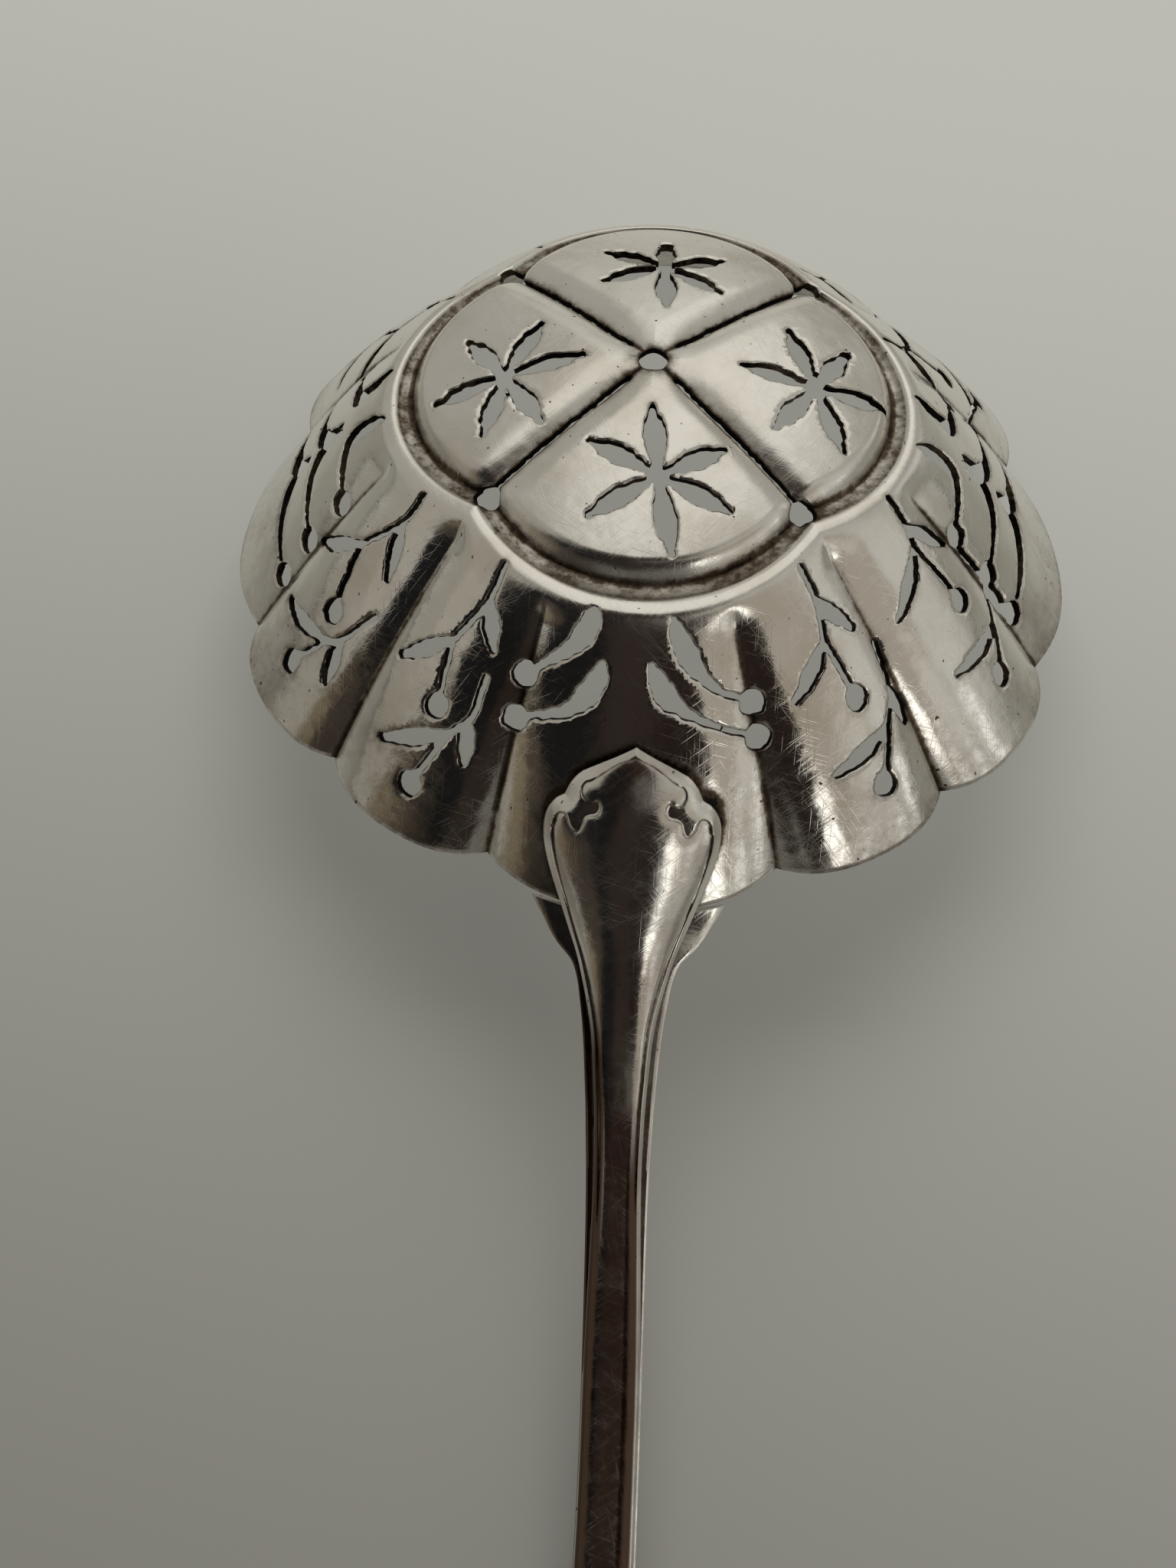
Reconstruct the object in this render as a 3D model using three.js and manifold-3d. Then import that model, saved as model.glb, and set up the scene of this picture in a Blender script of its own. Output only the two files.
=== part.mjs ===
import * as THREE from 'three';
import { mergeVertices } from 'three/addons/utils/BufferGeometryUtils.js';
import Module from 'manifold-3d';

// A pierced silver serving spoon for sifting sugar, lying face down on its far rim and the end of
// its handle. The fluted bowl is stamped from sheet and pierced by saw and drill. The handle is
// one forging, whose tongue laps the outside of the bowl, and silver solder joins the two.
// The bowl's own frame has its rim plane at z = 0, its mouth down and the handle towards -Y.
// Lengths are millimetres and angles are degrees.

// Bowl
const WALL = 0.9;
const RIM_VALLEY_RADIUS = 32.4;
const RIM_SLOPE = 56;
const CREST_RADIUS = 19.4;
const CREST_HEIGHT = 15.6;
const CREST_SLOPE = 35;
const CROWN_HEIGHT = 20.9;
const CROWN_DROP = 4.6;
const FOIL_OFFSET = 5.6;
const WIDE_FLUTE_ANGLE = 38.4;
const WIDE_FLUTE_BULGE = 1.2;
const HANDLE_FLUTE_BULGE = 2.6;
const NARROW_FLUTE_BULGE = 1.9;
const CHANNEL_WIDTH = 2.2;
const CHANNEL_DEPTH = 0.5;
const PAD_ROLL = 2.8;
const GROOVE_ROLL = 2.6;
const GROOVE_DEPTH = 0.9;

// Piercings
const CENTRE_HOLE = 2.2;
const RING_HOLE = 2.1;
const GROOVE_SLIT_WIDTH = 0.45;
const GROOVE_SLIT_START = 2.4;
const FLOWER_RADIUS = 11.3;
const FLOWER_HUB = 1.3;
const PETAL_LENGTH = 5.6;
const PETAL_WIDTH = 1.6;
const PETAL_TIP = 0.5;
const BERRY = 2.0;
const STEM_SLIT_WIDTH = 0.6;
const SPRIG_LEAF_WIDTH = 1.4;
const FLUTE_LEAF_WIDTH = 1.6;

// Handle
const TONGUE_LENGTH = 12.2;
const TONGUE_WIDTH = 13;
const TONGUE_EDGE = 1.1;
const TONGUE_CROWN = 1.9;
const SHOULDER_WIDTH = 14.8;
const SHOULDER_LENGTH = 4.9;
const SHOULDER_END_WIDTH = 8.8;
const SHOULDER_THICKNESS = 1.3;
const SHOULDER_STEP = 0.35;
const NECK_RUN = 13;
const NECK_DROP = 9.5;
const STEM_SLOPE = 24;
const STEM_WIDTH = 4.7;
const STEM_THICKNESS = 3;
const THREAD_INSET = 0.5;
const THREAD_LENGTH = 22;
const HANDLE_RUN = 125;
const HANDLE_DROP = 33;
const TIP_SLOPE = 10.5;
const END_WIDTH = 18;
const END_THICKNESS = 2;

// Solder
const SOLDER_THICKNESS = 0.25;
const SOLDER_INSET = 0.35;
const JOINT_GAP = 0.12;

// Shares of the wall's chord that its curve keeps straight at the crest and at the rim
const CREST_PULL = 0.3;
const RIM_PULL = 0.48;
// Rise of the crest for each millimetre that it comes in towards the axis
const CREST_RISE = 0.45;
// How late the flutes swell down the wall, and how flat their backs are
const SWELL_POWER = 1.6;
const FLUTE_POWER = 2.2;

// Places on a flute: share of the way down the wall, then share of the way out to its groove
const FLUTE_LEAVES = [
  { start: [0.04, 0.36], middle: [0.2, 0.48], berry: [0.41, 0.97] },
  { start: [0.25, 0.2], middle: [0.38, 0.33], berry: [0.57, 0.96] },
  { start: [0.5, 0.1], middle: [0.66, 0.28], berry: [0.79, 0.88] },
];
const HANDLE_FLUTE_LEAVES = 2;

// Sprigs of the narrow flutes. Each stem bears an inner leaf at its second point, and an outer
// leaf and a berry at its last. Across a narrow flute the share runs from -1, at the groove
// nearer the handle's axis, to 1. The two sides are cut by hand and differ a little.
const LEFT_SPRIGS = [
  {
    stem: [[0.05, 0.06], [0.2, -0.02], [0.395, 0.28]],
    inner: [0.37, -0.4],
    outer: [0.57, 0.86],
    berry: [0.62, 0],
  },
  {
    stem: [[0.47, -0.5], [0.6, -0.46], [0.69, -0.17]],
    inner: [0.78, -0.5],
    outer: [0.79, 0.57],
    berry: [0.865, 0.04],
  },
];
const RIGHT_SPRIGS = [
  {
    stem: [[0.03, 0.42], [0.12, 0.42], [0.2, 0.45]],
    inner: [0.455, -0.5],
    outer: [0.345, 0.75],
    berry: [0.55, 0.39],
  },
  {
    stem: [[0.46, 0.86], [0.56, 0.83], [0.63, 0.76]],
    inner: [0.73, -0.2],
    outer: [0.76, 0.9],
    berry: [0.84, 0.35],
  },
];

// Outline of the tongue: share of its length from the cusp, then share of its half width
const TONGUE_OUTLINE = [
  [0, 0.04], [0.09, 0.3], [0.18, 0.56], [0.27, 0.7], [0.33, 0.76], [0.37, 0.86], [0.46, 0.98],
  [0.56, 1], [0.68, 0.97], [0.8, 0.9], [0.9, 0.82], [1, 0.72],
];

// Fineness
const WIDE_FLUTE_STEPS = 4;
const NARROW_FLUTE_STEPS = 4;
const PAD_SHARES = [0.3, 0.65];
const WALL_STEPS = [0.25, 0.5, 0.75, 1];
const HOLE_SIDES = 8;
const BERRY_SIDES = 7;

const wasm = await Module();
wasm.setup();

const radians = THREE.MathUtils.degToRad;
const QUARTER = Math.PI / 2;
const CREST_ARC = CREST_RADIUS - FOIL_OFFSET;
const WIDE_HALF = radians(WIDE_FLUTE_ANGLE / 2);
const NARROW_HALF = (QUARTER / 2 - WIDE_HALF) / 2;
const NARROW_MIDDLE = WIDE_HALF + NARROW_HALF;

function fromAxis(phi) {
  return phi - QUARTER * Math.round(phi / QUARTER);
}

function around(phi, r, z) {
  return new THREE.Vector3(r * Math.sin(phi), -r * Math.cos(phi), z);
}

// Solids

function signedVolume(position, index) {
  const [a, b, c] = [new THREE.Vector3(), new THREE.Vector3(), new THREE.Vector3()];
  let sum = 0;
  for (let i = 0; i < index.length; i += 3) {
    a.fromBufferAttribute(position, index[i]);
    b.fromBufferAttribute(position, index[i + 1]);
    c.fromBufferAttribute(position, index[i + 2]);
    sum += a.dot(b.cross(c)) / 6;
  }
  return sum;
}

function solid(geometry) {
  const plain = geometry.clone();
  plain.deleteAttribute('normal');
  plain.deleteAttribute('uv');
  const merged = mergeVertices(plain, 1e-4);
  const index = Uint32Array.from(merged.index.array);
  const position = merged.attributes.position;
  if (signedVolume(position, index) < 0) {
    index.reverse();
  }
  const vertProperties = Float32Array.from(position.array);
  return new wasm.Manifold(new wasm.Mesh({ numProp: 3, vertProperties, triVerts: index }));
}

function geometryOf(body) {
  const mesh = body.getMesh();
  const geometry = new THREE.BufferGeometry();
  geometry.setAttribute('position', new THREE.BufferAttribute(Float32Array.from(mesh.vertProperties), 3));
  geometry.setIndex(new THREE.BufferAttribute(Uint32Array.from(mesh.triVerts), 1));
  geometry.computeVertexNormals();
  return geometry;
}

function surfaceOf(points, triangles) {
  const geometry = new THREE.BufferGeometry();
  geometry.setFromPoints(points);
  geometry.setIndex(triangles);
  return geometry;
}

// A closed body through a row of sections, each a ring of as many points
function loft(sections) {
  const count = sections[0].length;
  const triangles = [];
  for (let i = 0; i + 1 < sections.length; i += 1) {
    for (let j = 0; j < count; j += 1) {
      const here = i * count + j;
      const beside = i * count + ((j + 1) % count);
      triangles.push(here, beside, beside + count, here, beside + count, here + count);
    }
  }
  const last = (sections.length - 1) * count;
  for (let j = 1; j + 1 < count; j += 1) {
    triangles.push(0, j + 1, j, last, last + j, last + j + 1);
  }
  return solid(surfaceOf(sections.flat(), triangles));
}

// Bowl surface

function foilRadius(phi, arcRadius) {
  const angle = fromAxis(phi);
  const side = FOIL_OFFSET * Math.sin(angle);
  return FOIL_OFFSET * Math.cos(angle) + Math.sqrt(arcRadius ** 2 - side ** 2);
}

function crest(phi) {
  const r = foilRadius(phi, CREST_ARC);
  return new THREE.Vector2(r, CREST_HEIGHT + (CREST_RADIUS - r) * CREST_RISE);
}

function padHeight(phi, r) {
  const angle = fromAxis(phi);
  const setback = CREST_ARC - Math.hypot(r * Math.cos(angle) - FOIL_OFFSET, r * Math.sin(angle));
  const edge = crest(phi).y;
  if (setback < CHANNEL_WIDTH) {
    return edge - CHANNEL_DEPTH * Math.sin((Math.PI * setback) / CHANNEL_WIDTH);
  }
  const rise = Math.min((setback - CHANNEL_WIDTH) / PAD_ROLL, 1);
  const roll = 1 - (1 - rise) ** 2;
  const crown = CROWN_HEIGHT - CROWN_DROP * (r / CREST_RADIUS) ** 2;
  const fromGroove = r * Math.sin(QUARTER / 2 - Math.abs(angle));
  const groove = GROOVE_DEPTH * (1 - Math.min(fromGroove / GROOVE_ROLL, 1)) ** 2;
  return edge + (crown - edge) * roll - groove * rise;
}

function fluteSwell(phi) {
  const angle = Math.abs(fromAxis(phi));
  if (angle > WIDE_HALF) {
    const across = Math.abs(angle - NARROW_MIDDLE) / NARROW_HALF;
    return NARROW_FLUTE_BULGE * (1 - across ** FLUTE_POWER);
  }
  const bulge = Math.cos(phi) > Math.SQRT1_2 ? HANDLE_FLUTE_BULGE : WIDE_FLUTE_BULGE;
  return bulge * (1 - (angle / WIDE_HALF) ** FLUTE_POWER);
}

function wallCurve(phi) {
  const top = crest(phi);
  const rim = new THREE.Vector2(RIM_VALLEY_RADIUS, 0);
  const chord = top.distanceTo(rim);
  const [upper, lower] = [radians(CREST_SLOPE), radians(RIM_SLOPE)];
  const leave = new THREE.Vector2(Math.cos(upper), -Math.sin(upper)).multiplyScalar(chord * CREST_PULL);
  const arrive = new THREE.Vector2(Math.cos(lower), -Math.sin(lower)).multiplyScalar(chord * RIM_PULL);
  return new THREE.CubicBezierCurve(top, top.clone().add(leave), rim.clone().sub(arrive), rim);
}

function wallPoint(share, phi) {
  const point = wallCurve(phi).getPoint(share);
  return around(phi, point.x + fluteSwell(phi) * share ** SWELL_POWER, point.y);
}

// Places down one meridian of the outer skin, from next to the crown to the rim, with the
// direction of the sheet's thickness at each
function meridian(phi) {
  const places = [];
  const addPad = (r) => {
    const lean = radians(CREST_SLOPE) * (r / CREST_RADIUS) ** 2;
    const out = around(phi, Math.sin(lean), Math.cos(lean));
    places.push({ point: around(phi, r, padHeight(phi, r)), out });
  };
  const padEdge = CHANNEL_WIDTH + PAD_ROLL;
  PAD_SHARES.forEach((share) => addPad(share * foilRadius(phi, CREST_ARC - padEdge)));
  [padEdge, CHANNEL_WIDTH + PAD_ROLL / 4, CHANNEL_WIDTH / 2, 0].forEach((setback) => {
    addPad(foilRadius(phi, CREST_ARC - setback));
  });
  return places.concat(wallPlaces(phi));
}

// The rim is filed flat, so the thickness there is measured level
function wallPlaces(phi) {
  return WALL_STEPS.map((share) => {
    const tangent = wallCurve(phi).getTangent(share);
    const out = share < 1 ? around(phi, -tangent.y, tangent.x) : around(phi, -1 / tangent.y, 0);
    return { point: wallPoint(share, phi), out };
  });
}

function meridianAngles() {
  const angles = [];
  for (let quarter = 0; quarter < 4; quarter += 1) {
    const axis = quarter * QUARTER;
    for (let i = 0; i < WIDE_FLUTE_STEPS; i += 1) {
      angles.push(axis - WIDE_HALF + (2 * WIDE_HALF * i) / WIDE_FLUTE_STEPS);
    }
    for (let i = 0; i < 2 * NARROW_FLUTE_STEPS; i += 1) {
      angles.push(axis + WIDE_HALF + (2 * NARROW_HALF * i) / NARROW_FLUTE_STEPS);
    }
  }
  return angles;
}

// A closed body from columns of points that all run from one shared top point to one shared bottom point
function turned(columns, top, bottom) {
  const rows = columns[0].length;
  const points = columns.flat().concat([top, bottom]);
  const [topIndex, bottomIndex] = [points.length - 2, points.length - 1];
  const triangles = [];
  columns.forEach((_, c) => {
    const here = c * rows;
    const next = ((c + 1) % columns.length) * rows;
    triangles.push(topIndex, here, next);
    for (let i = 0; i + 1 < rows; i += 1) {
      triangles.push(here + i, here + i + 1, next + i + 1, here + i, next + i + 1, next + i);
    }
    triangles.push(here + rows - 1, bottomIndex, next + rows - 1);
  });
  return solid(surfaceOf(points, triangles));
}

function bowlSheet() {
  const columns = meridianAngles().map((phi) => {
    const places = meridian(phi);
    const outside = places.map(({ point }) => point);
    const inside = places.map(({ point, out }) => point.clone().addScaledVector(out, -WALL));
    return outside.concat(inside.reverse());
  });
  const crown = padHeight(0, 0) - GROOVE_DEPTH;
  return turned(columns, new THREE.Vector3(0, 0, crown), new THREE.Vector3(0, 0, crown - WALL));
}

// Everything under the bowl's outer wall grown by a gap, with the mouth closed
function bowlEnvelope(gap) {
  const columns = meridianAngles().map((phi) => {
    const places = wallPlaces(phi).map(({ point, out }) => point.clone().addScaledVector(out, gap));
    const tangent = wallCurve(phi).getTangent(1);
    const down = around(phi, tangent.x, tangent.y);
    places.push(places.at(-1).clone().addScaledVector(down, -gap / tangent.y));
    return places;
  });
  return turned(columns, new THREE.Vector3(0, 0, CREST_HEIGHT), new THREE.Vector3(0, 0, -gap));
}

// Piercings

const CUT_REACH = WALL + 1;
const NORMAL_SPAN = { share: 0.05, angle: radians(3) };

function wallNormal(share, phi) {
  const down = wallPoint(Math.min(share + NORMAL_SPAN.share, 1), phi);
  down.sub(wallPoint(Math.max(share - NORMAL_SPAN.share, 0), phi));
  const across = wallPoint(share, phi + NORMAL_SPAN.angle).sub(wallPoint(share, phi - NORMAL_SPAN.angle));
  return down.cross(across).normalize();
}

function hole(point, axis, diameter, sides) {
  const geometry = new THREE.CylinderGeometry(diameter / 2, diameter / 2, 2 * CUT_REACH, sides);
  geometry.applyQuaternion(new THREE.Quaternion().setFromUnitVectors(new THREE.Vector3(0, 1, 0), axis));
  geometry.translate(point.x, point.y, point.z);
  return solid(geometry);
}

// A saw cut through the wall along a row of places, with its width at each
function sawCut(places, widths) {
  const points = places.map(([share, phi]) => wallPoint(share, phi));
  const sections = places.map(([share, phi], i) => {
    const normal = wallNormal(share, phi);
    const way = points[Math.min(i + 1, points.length - 1)].clone().sub(points[Math.max(i - 1, 0)]);
    const side = way.cross(normal).normalize().multiplyScalar(widths[i] / 2);
    const through = normal.multiplyScalar(CUT_REACH);
    const [left, right] = [points[i].clone().sub(side), points[i].clone().add(side)];
    return [
      left.clone().add(through), right.clone().add(through),
      right.clone().sub(through), left.clone().sub(through),
    ];
  });
  return loft(sections);
}

function between(from, to, share) {
  return from.map((value, i) => value + (to[i] - value) * share);
}

// A curved way past three places, as a number of steps
function bend(start, middle, end, steps) {
  const curve = new THREE.CatmullRomCurve3(
    [start, middle, end].map(([share, phi]) => new THREE.Vector3(share, phi, 0)),
  );
  return curve.getPoints(steps).map((place) => [place.x, place.y]);
}

function fluteLeafCuts(axis, side, leaf) {
  const place = ([share, across]) => [share, axis + side * across * WIDE_HALF];
  const [start, middle, berry] = [leaf.start, leaf.middle, leaf.berry].map(place);
  const way = bend(start, middle, berry, 3);
  const widths = [0.45, 1, 0.7].map((part) => part * FLUTE_LEAF_WIDTH).concat(STEM_SLIT_WIDTH);
  return [sawCut(way, widths), hole(wallPoint(...berry), wallNormal(...berry), BERRY, BERRY_SIDES)];
}

function leafCut(from, to) {
  const way = [0, 0.55, 1].map((share) => between(from, to, share));
  const widths = [0.3, 1, 0.35].map((part) => part * SPRIG_LEAF_WIDTH);
  return sawCut(way, widths);
}

function sprigCuts(middle, side, sprig) {
  const place = ([share, across]) => [share, middle + side * across * NARROW_HALF];
  const [start, inner, fork] = sprig.stem.map(place);
  const berry = place(sprig.berry);
  return [
    sawCut([start, inner, fork], Array(3).fill(STEM_SLIT_WIDTH)),
    sawCut([fork, berry], Array(2).fill(STEM_SLIT_WIDTH)),
    leafCut(inner, place(sprig.inner)),
    leafCut(fork, place(sprig.outer)),
    hole(wallPoint(...berry), wallNormal(...berry), BERRY, BERRY_SIDES),
  ];
}

function wallCuts() {
  const cuts = [];
  for (let quarter = 0; quarter < 4; quarter += 1) {
    const leaves = FLUTE_LEAVES.slice(0, quarter === 0 ? HANDLE_FLUTE_LEAVES : undefined);
    leaves.forEach((leaf) => {
      cuts.push(...fluteLeafCuts(quarter * QUARTER, 1, leaf), ...fluteLeafCuts(quarter * QUARTER, -1, leaf));
    });
  }
  [NARROW_MIDDLE, QUARTER - NARROW_MIDDLE].forEach((middle) => {
    LEFT_SPRIGS.forEach((sprig) => {
      cuts.push(...sprigCuts(-middle, -1, sprig), ...sprigCuts(middle - Math.PI, 1, sprig));
    });
    RIGHT_SPRIGS.forEach((sprig) => {
      cuts.push(...sprigCuts(middle, 1, sprig), ...sprigCuts(Math.PI - middle, -1, sprig));
    });
  });
  return cuts;
}

function flowerShape() {
  const shape = [];
  for (let petal = 0; petal < 6; petal += 1) {
    const way = (petal * Math.PI) / 3;
    const at = (along, across) => new THREE.Vector2(along, across).rotateAround(new THREE.Vector2(), way);
    shape.push(at(FLOWER_HUB / 2, 0).rotateAround(new THREE.Vector2(), -Math.PI / 6));
    const rightSide = [[0.58, PETAL_WIDTH / 2], [1, PETAL_TIP / 2]];
    rightSide.forEach(([share, half]) => shape.push(at(share * PETAL_LENGTH, -half)));
    rightSide.reverse().forEach(([share, half]) => shape.push(at(share * PETAL_LENGTH, half)));
  }
  return new THREE.Shape(shape);
}

function medallionCuts() {
  const up = new THREE.Vector3(0, 0, 1);
  const cuts = [hole(new THREE.Vector3(0, 0, CROWN_HEIGHT - GROOVE_DEPTH), up, CENTRE_HOLE, HOLE_SIDES)];
  const flower = new THREE.ExtrudeGeometry(flowerShape(), { depth: 2 * CUT_REACH, bevelEnabled: false });
  const ringRadius = foilRadius(QUARTER / 2, CREST_ARC - CHANNEL_WIDTH / 2);
  const slitLength = ringRadius - GROOVE_SLIT_START;
  for (let quarter = 0; quarter < 4; quarter += 1) {
    const axis = quarter * QUARTER;
    const flowerHeight = padHeight(axis, FLOWER_RADIUS);
    const place = around(axis, FLOWER_RADIUS, flowerHeight - CUT_REACH);
    cuts.push(solid(flower.clone().rotateZ(axis + QUARTER).translate(place.x, place.y, place.z)));
    const diagonal = axis + QUARTER / 2;
    const ringHeight = padHeight(diagonal, ringRadius);
    cuts.push(hole(around(diagonal, ringRadius, ringHeight), up, RING_HOLE, HOLE_SIDES));
    const slit = new THREE.BoxGeometry(slitLength, GROOVE_SLIT_WIDTH, CROWN_HEIGHT);
    const middle = around(diagonal, GROOVE_SLIT_START + slitLength / 2, CROWN_HEIGHT);
    cuts.push(solid(slit.rotateZ(diagonal - QUARTER).translate(middle.x, middle.y, middle.z)));
  }
  return cuts;
}

function bowlGeometry() {
  const cuts = wallCuts().concat(medallionCuts());
  return geometryOf(cuts.reduce((body, cut) => body.subtract(cut), bowlSheet()));
}

// Handle

const wallLine = new THREE.CatmullRomCurve3([0, ...WALL_STEPS].map((share) => wallPoint(share, 0)));
const seatLine = seatCurve();

function seatCurve() {
  const rim = wallPoint(1, 0);
  const slope = (angle) => new THREE.Vector3(0, -Math.cos(radians(angle)), -Math.sin(radians(angle)));
  const neck = rim.clone().add(new THREE.Vector3(0, -NECK_RUN, -NECK_DROP));
  const tip = neck.clone().add(new THREE.Vector3(0, -HANDLE_RUN, -HANDLE_DROP));
  const leave = rim.clone().addScaledVector(wallLine.getTangent(1), NECK_RUN / 3);
  const arrive = neck.clone().addScaledVector(slope(STEM_SLOPE), -NECK_RUN / 3);
  const onward = neck.clone().addScaledVector(slope(STEM_SLOPE), HANDLE_RUN / 3);
  const flatten = tip.clone().addScaledVector(slope(TIP_SLOPE), -HANDLE_RUN / 3);
  const path = new THREE.CurvePath();
  path.add(wallLine);
  path.add(new THREE.CubicBezierCurve3(rim, leave, arrive, neck));
  path.add(new THREE.CubicBezierCurve3(neck, onward, flatten, tip));
  return path;
}

const WALL_LENGTH = wallLine.getLength();
const SEAT_LENGTH = seatLine.getLength();
const HANDLE_LENGTH = SEAT_LENGTH - WALL_LENGTH;
const NECK_LENGTH = seatLine.curves[1].getLength();

// How far the wall falls away to the side of the seat line. The fall dies out along the neck.
function sideFall(station, x) {
  const share = Math.min((station + WALL_LENGTH) / WALL_LENGTH, 1);
  const middle = wallPoint(share, 0);
  const side = wallPoint(share, Math.asin(x / -middle.y));
  const tangent = wallLine.getTangent(share);
  const normal = new THREE.Vector3(0, tangent.z, -tangent.y);
  const fade = 1 - THREE.MathUtils.smoothstep(station, 0, NECK_LENGTH);
  return middle.sub(side).dot(normal) * fade;
}

// A point of the handle: distance along the seat line from the rim, to the side, and off the seat
function onHandle(station, x, height) {
  const share = THREE.MathUtils.clamp((station + WALL_LENGTH) / SEAT_LENGTH, 0, 1);
  const point = seatLine.getPoint(share);
  const tangent = seatLine.getTangent(share);
  const normal = new THREE.Vector3(0, tangent.z, -tangent.y).normalize();
  point.addScaledVector(normal, height - sideFall(station, x));
  point.x = x;
  return point;
}

function splinePoints(points, count) {
  return new THREE.SplineCurve(points.map(([x, y]) => new THREE.Vector2(x, y))).getPoints(count);
}

// Half widths of the lower layer: the shoulders that butt on the rim, the stem and the wide end
function handleOutline() {
  const outline = [];
  const shoulderFall = (SHOULDER_WIDTH - SHOULDER_END_WIDTH) / 2;
  outline.push([-SHOULDER_THICKNESS * 2, SHOULDER_WIDTH / 2]);
  [0, 0.3, 0.55, 0.8].forEach((share) => {
    const half = SHOULDER_END_WIDTH / 2 + shoulderFall * Math.cos(share * QUARTER);
    outline.push([share * SHOULDER_LENGTH, half]);
  });
  const stem = [
    [SHOULDER_LENGTH, SHOULDER_END_WIDTH / 2], [NECK_LENGTH * 0.62, STEM_WIDTH * 0.66],
    [NECK_LENGTH, STEM_WIDTH / 2], [HANDLE_LENGTH * 0.4, STEM_WIDTH * 0.56],
  ];
  splinePoints(stem, 9).forEach(({ x, y }) => outline.push([x, y]));
  const end = [
    [HANDLE_LENGTH * 0.4, STEM_WIDTH * 0.56], [HANDLE_LENGTH * 0.62, STEM_WIDTH * 0.8],
    [HANDLE_LENGTH * 0.78, END_WIDTH * 0.36], [HANDLE_LENGTH * 0.9, END_WIDTH / 2],
    [HANDLE_LENGTH * 0.965, END_WIDTH * 0.42], [HANDLE_LENGTH * 0.99, END_WIDTH * 0.2],
    [HANDLE_LENGTH, END_WIDTH * 0.03],
  ];
  splinePoints(end, 18).slice(1).forEach(({ x, y }) => outline.push([x, y]));
  return outline;
}

function thickness(station) {
  const share = THREE.MathUtils.smoothstep(station, HANDLE_LENGTH * 0.45, HANDLE_LENGTH * 0.9);
  return THREE.MathUtils.lerp(STEM_THICKNESS, END_THICKNESS, share);
}

function lowerSection(station, half) {
  const share = THREE.MathUtils.smoothstep(station, 0, NECK_LENGTH);
  const depth = THREE.MathUtils.lerp(SHOULDER_THICKNESS, thickness(station) / 2, share);
  const top = -SHOULDER_STEP * (1 - THREE.MathUtils.smoothstep(station, 0, SHOULDER_LENGTH));
  const section = [[-half, top], [-half, -depth * 0.55], [-half * 0.6, -depth], [half * 0.6, -depth]];
  section.push([half, -depth * 0.55], [half, top], [0, top]);
  return section.map(([x, height]) => onHandle(station, x, height));
}

function upperSection(station, half, edge, crown, foot) {
  const dome = (share) => edge + (crown - edge) * (1 - share ** 2);
  const section = [[-half, -foot], [-half, edge], [-half * 0.6, dome(0.6)], [0, crown]];
  section.push([half * 0.6, dome(0.6)], [half, edge], [half, -foot], [0, -foot]);
  return section.map(([x, height]) => onHandle(station, x, height));
}

// The handle before it is fitted to the bowl, drawn in all round by an inset
function handleBlank(inset) {
  const outline = handleOutline();
  const lower = outline.map(([station, half]) => lowerSection(station, Math.max(half - inset, 0.1)));
  const upper = TONGUE_OUTLINE.map(([along, across]) => {
    const half = Math.max((across * TONGUE_WIDTH) / 2 - inset, 0.1);
    return upperSection((along - 1) * (TONGUE_LENGTH - inset), half, TONGUE_EDGE, TONGUE_CROWN, 1);
  });
  outline.filter(([station]) => station > SHOULDER_LENGTH).forEach(([station, half]) => {
    const fade = THREE.MathUtils.smoothstep(station, THREAD_LENGTH * 0.8, THREAD_LENGTH);
    const settle = THREE.MathUtils.smoothstep(station, 0, NECK_LENGTH);
    const step = THREE.MathUtils.lerp(THREAD_INSET, 0.15, fade);
    const edge = THREE.MathUtils.lerp(TONGUE_EDGE, thickness(station) * 0.2, settle);
    const crown = THREE.MathUtils.lerp(TONGUE_CROWN, thickness(station) / 2, settle);
    upper.push(upperSection(station, Math.max(half - step - inset, 0.05), edge, crown, 0.1));
  });
  return loft(lower).add(loft(upper));
}

const SEAT_GAP = SOLDER_THICKNESS + 2 * JOINT_GAP;

function handleGeometry() {
  return geometryOf(handleBlank(0).subtract(bowlEnvelope(SEAT_GAP)));
}

function solderGeometry() {
  const layer = bowlEnvelope(SEAT_GAP - JOINT_GAP).subtract(bowlEnvelope(JOINT_GAP));
  return geometryOf(handleBlank(SOLDER_INSET).intersect(layer));
}

// Assembly

function silver(color, roughness) {
  return new THREE.MeshStandardMaterial({ color, roughness, metalness: 1 });
}

function piece(name, geometry, material) {
  const mesh = new THREE.Mesh(geometry, material);
  mesh.name = name;
  return mesh;
}

const bowl = piece('bowl', bowlGeometry(), silver(0xc9c3b6, 0.28));
const handle = piece('handle', handleGeometry(), silver(0xbdb6aa, 0.22));
const solderSeam = piece('solder_seam', solderGeometry(), silver(0x8d867a, 0.5));

function lowest(mesh, tilt) {
  const position = mesh.geometry.attributes.position;
  let low = Infinity;
  for (let i = 0; i < position.count; i += 1) {
    low = Math.min(low, position.getZ(i) * Math.cos(tilt) - position.getY(i) * Math.sin(tilt));
  }
  return low;
}

// Tilt at which the far rim and the end of the handle touch the table together
function restingTilt() {
  let [level, steep] = [0, QUARTER / 2];
  for (let i = 0; i < 50; i += 1) {
    const tilt = (level + steep) / 2;
    if (lowest(handle, tilt) < lowest(bowl, tilt)) {
      level = tilt;
    } else {
      steep = tilt;
    }
  }
  return (level + steep) / 2;
}

const spoon = new THREE.Group();
spoon.add(bowl, handle, solderSeam);
spoon.rotation.x = -restingTilt();
spoon.updateMatrixWorld(true);
const extent = new THREE.Box3().setFromObject(spoon, true);
const middle = extent.getCenter(new THREE.Vector3());
spoon.position.set(-middle.x, -middle.y, -extent.min.z);

const part = new THREE.Group();
part.add(spoon);
export default part;
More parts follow.
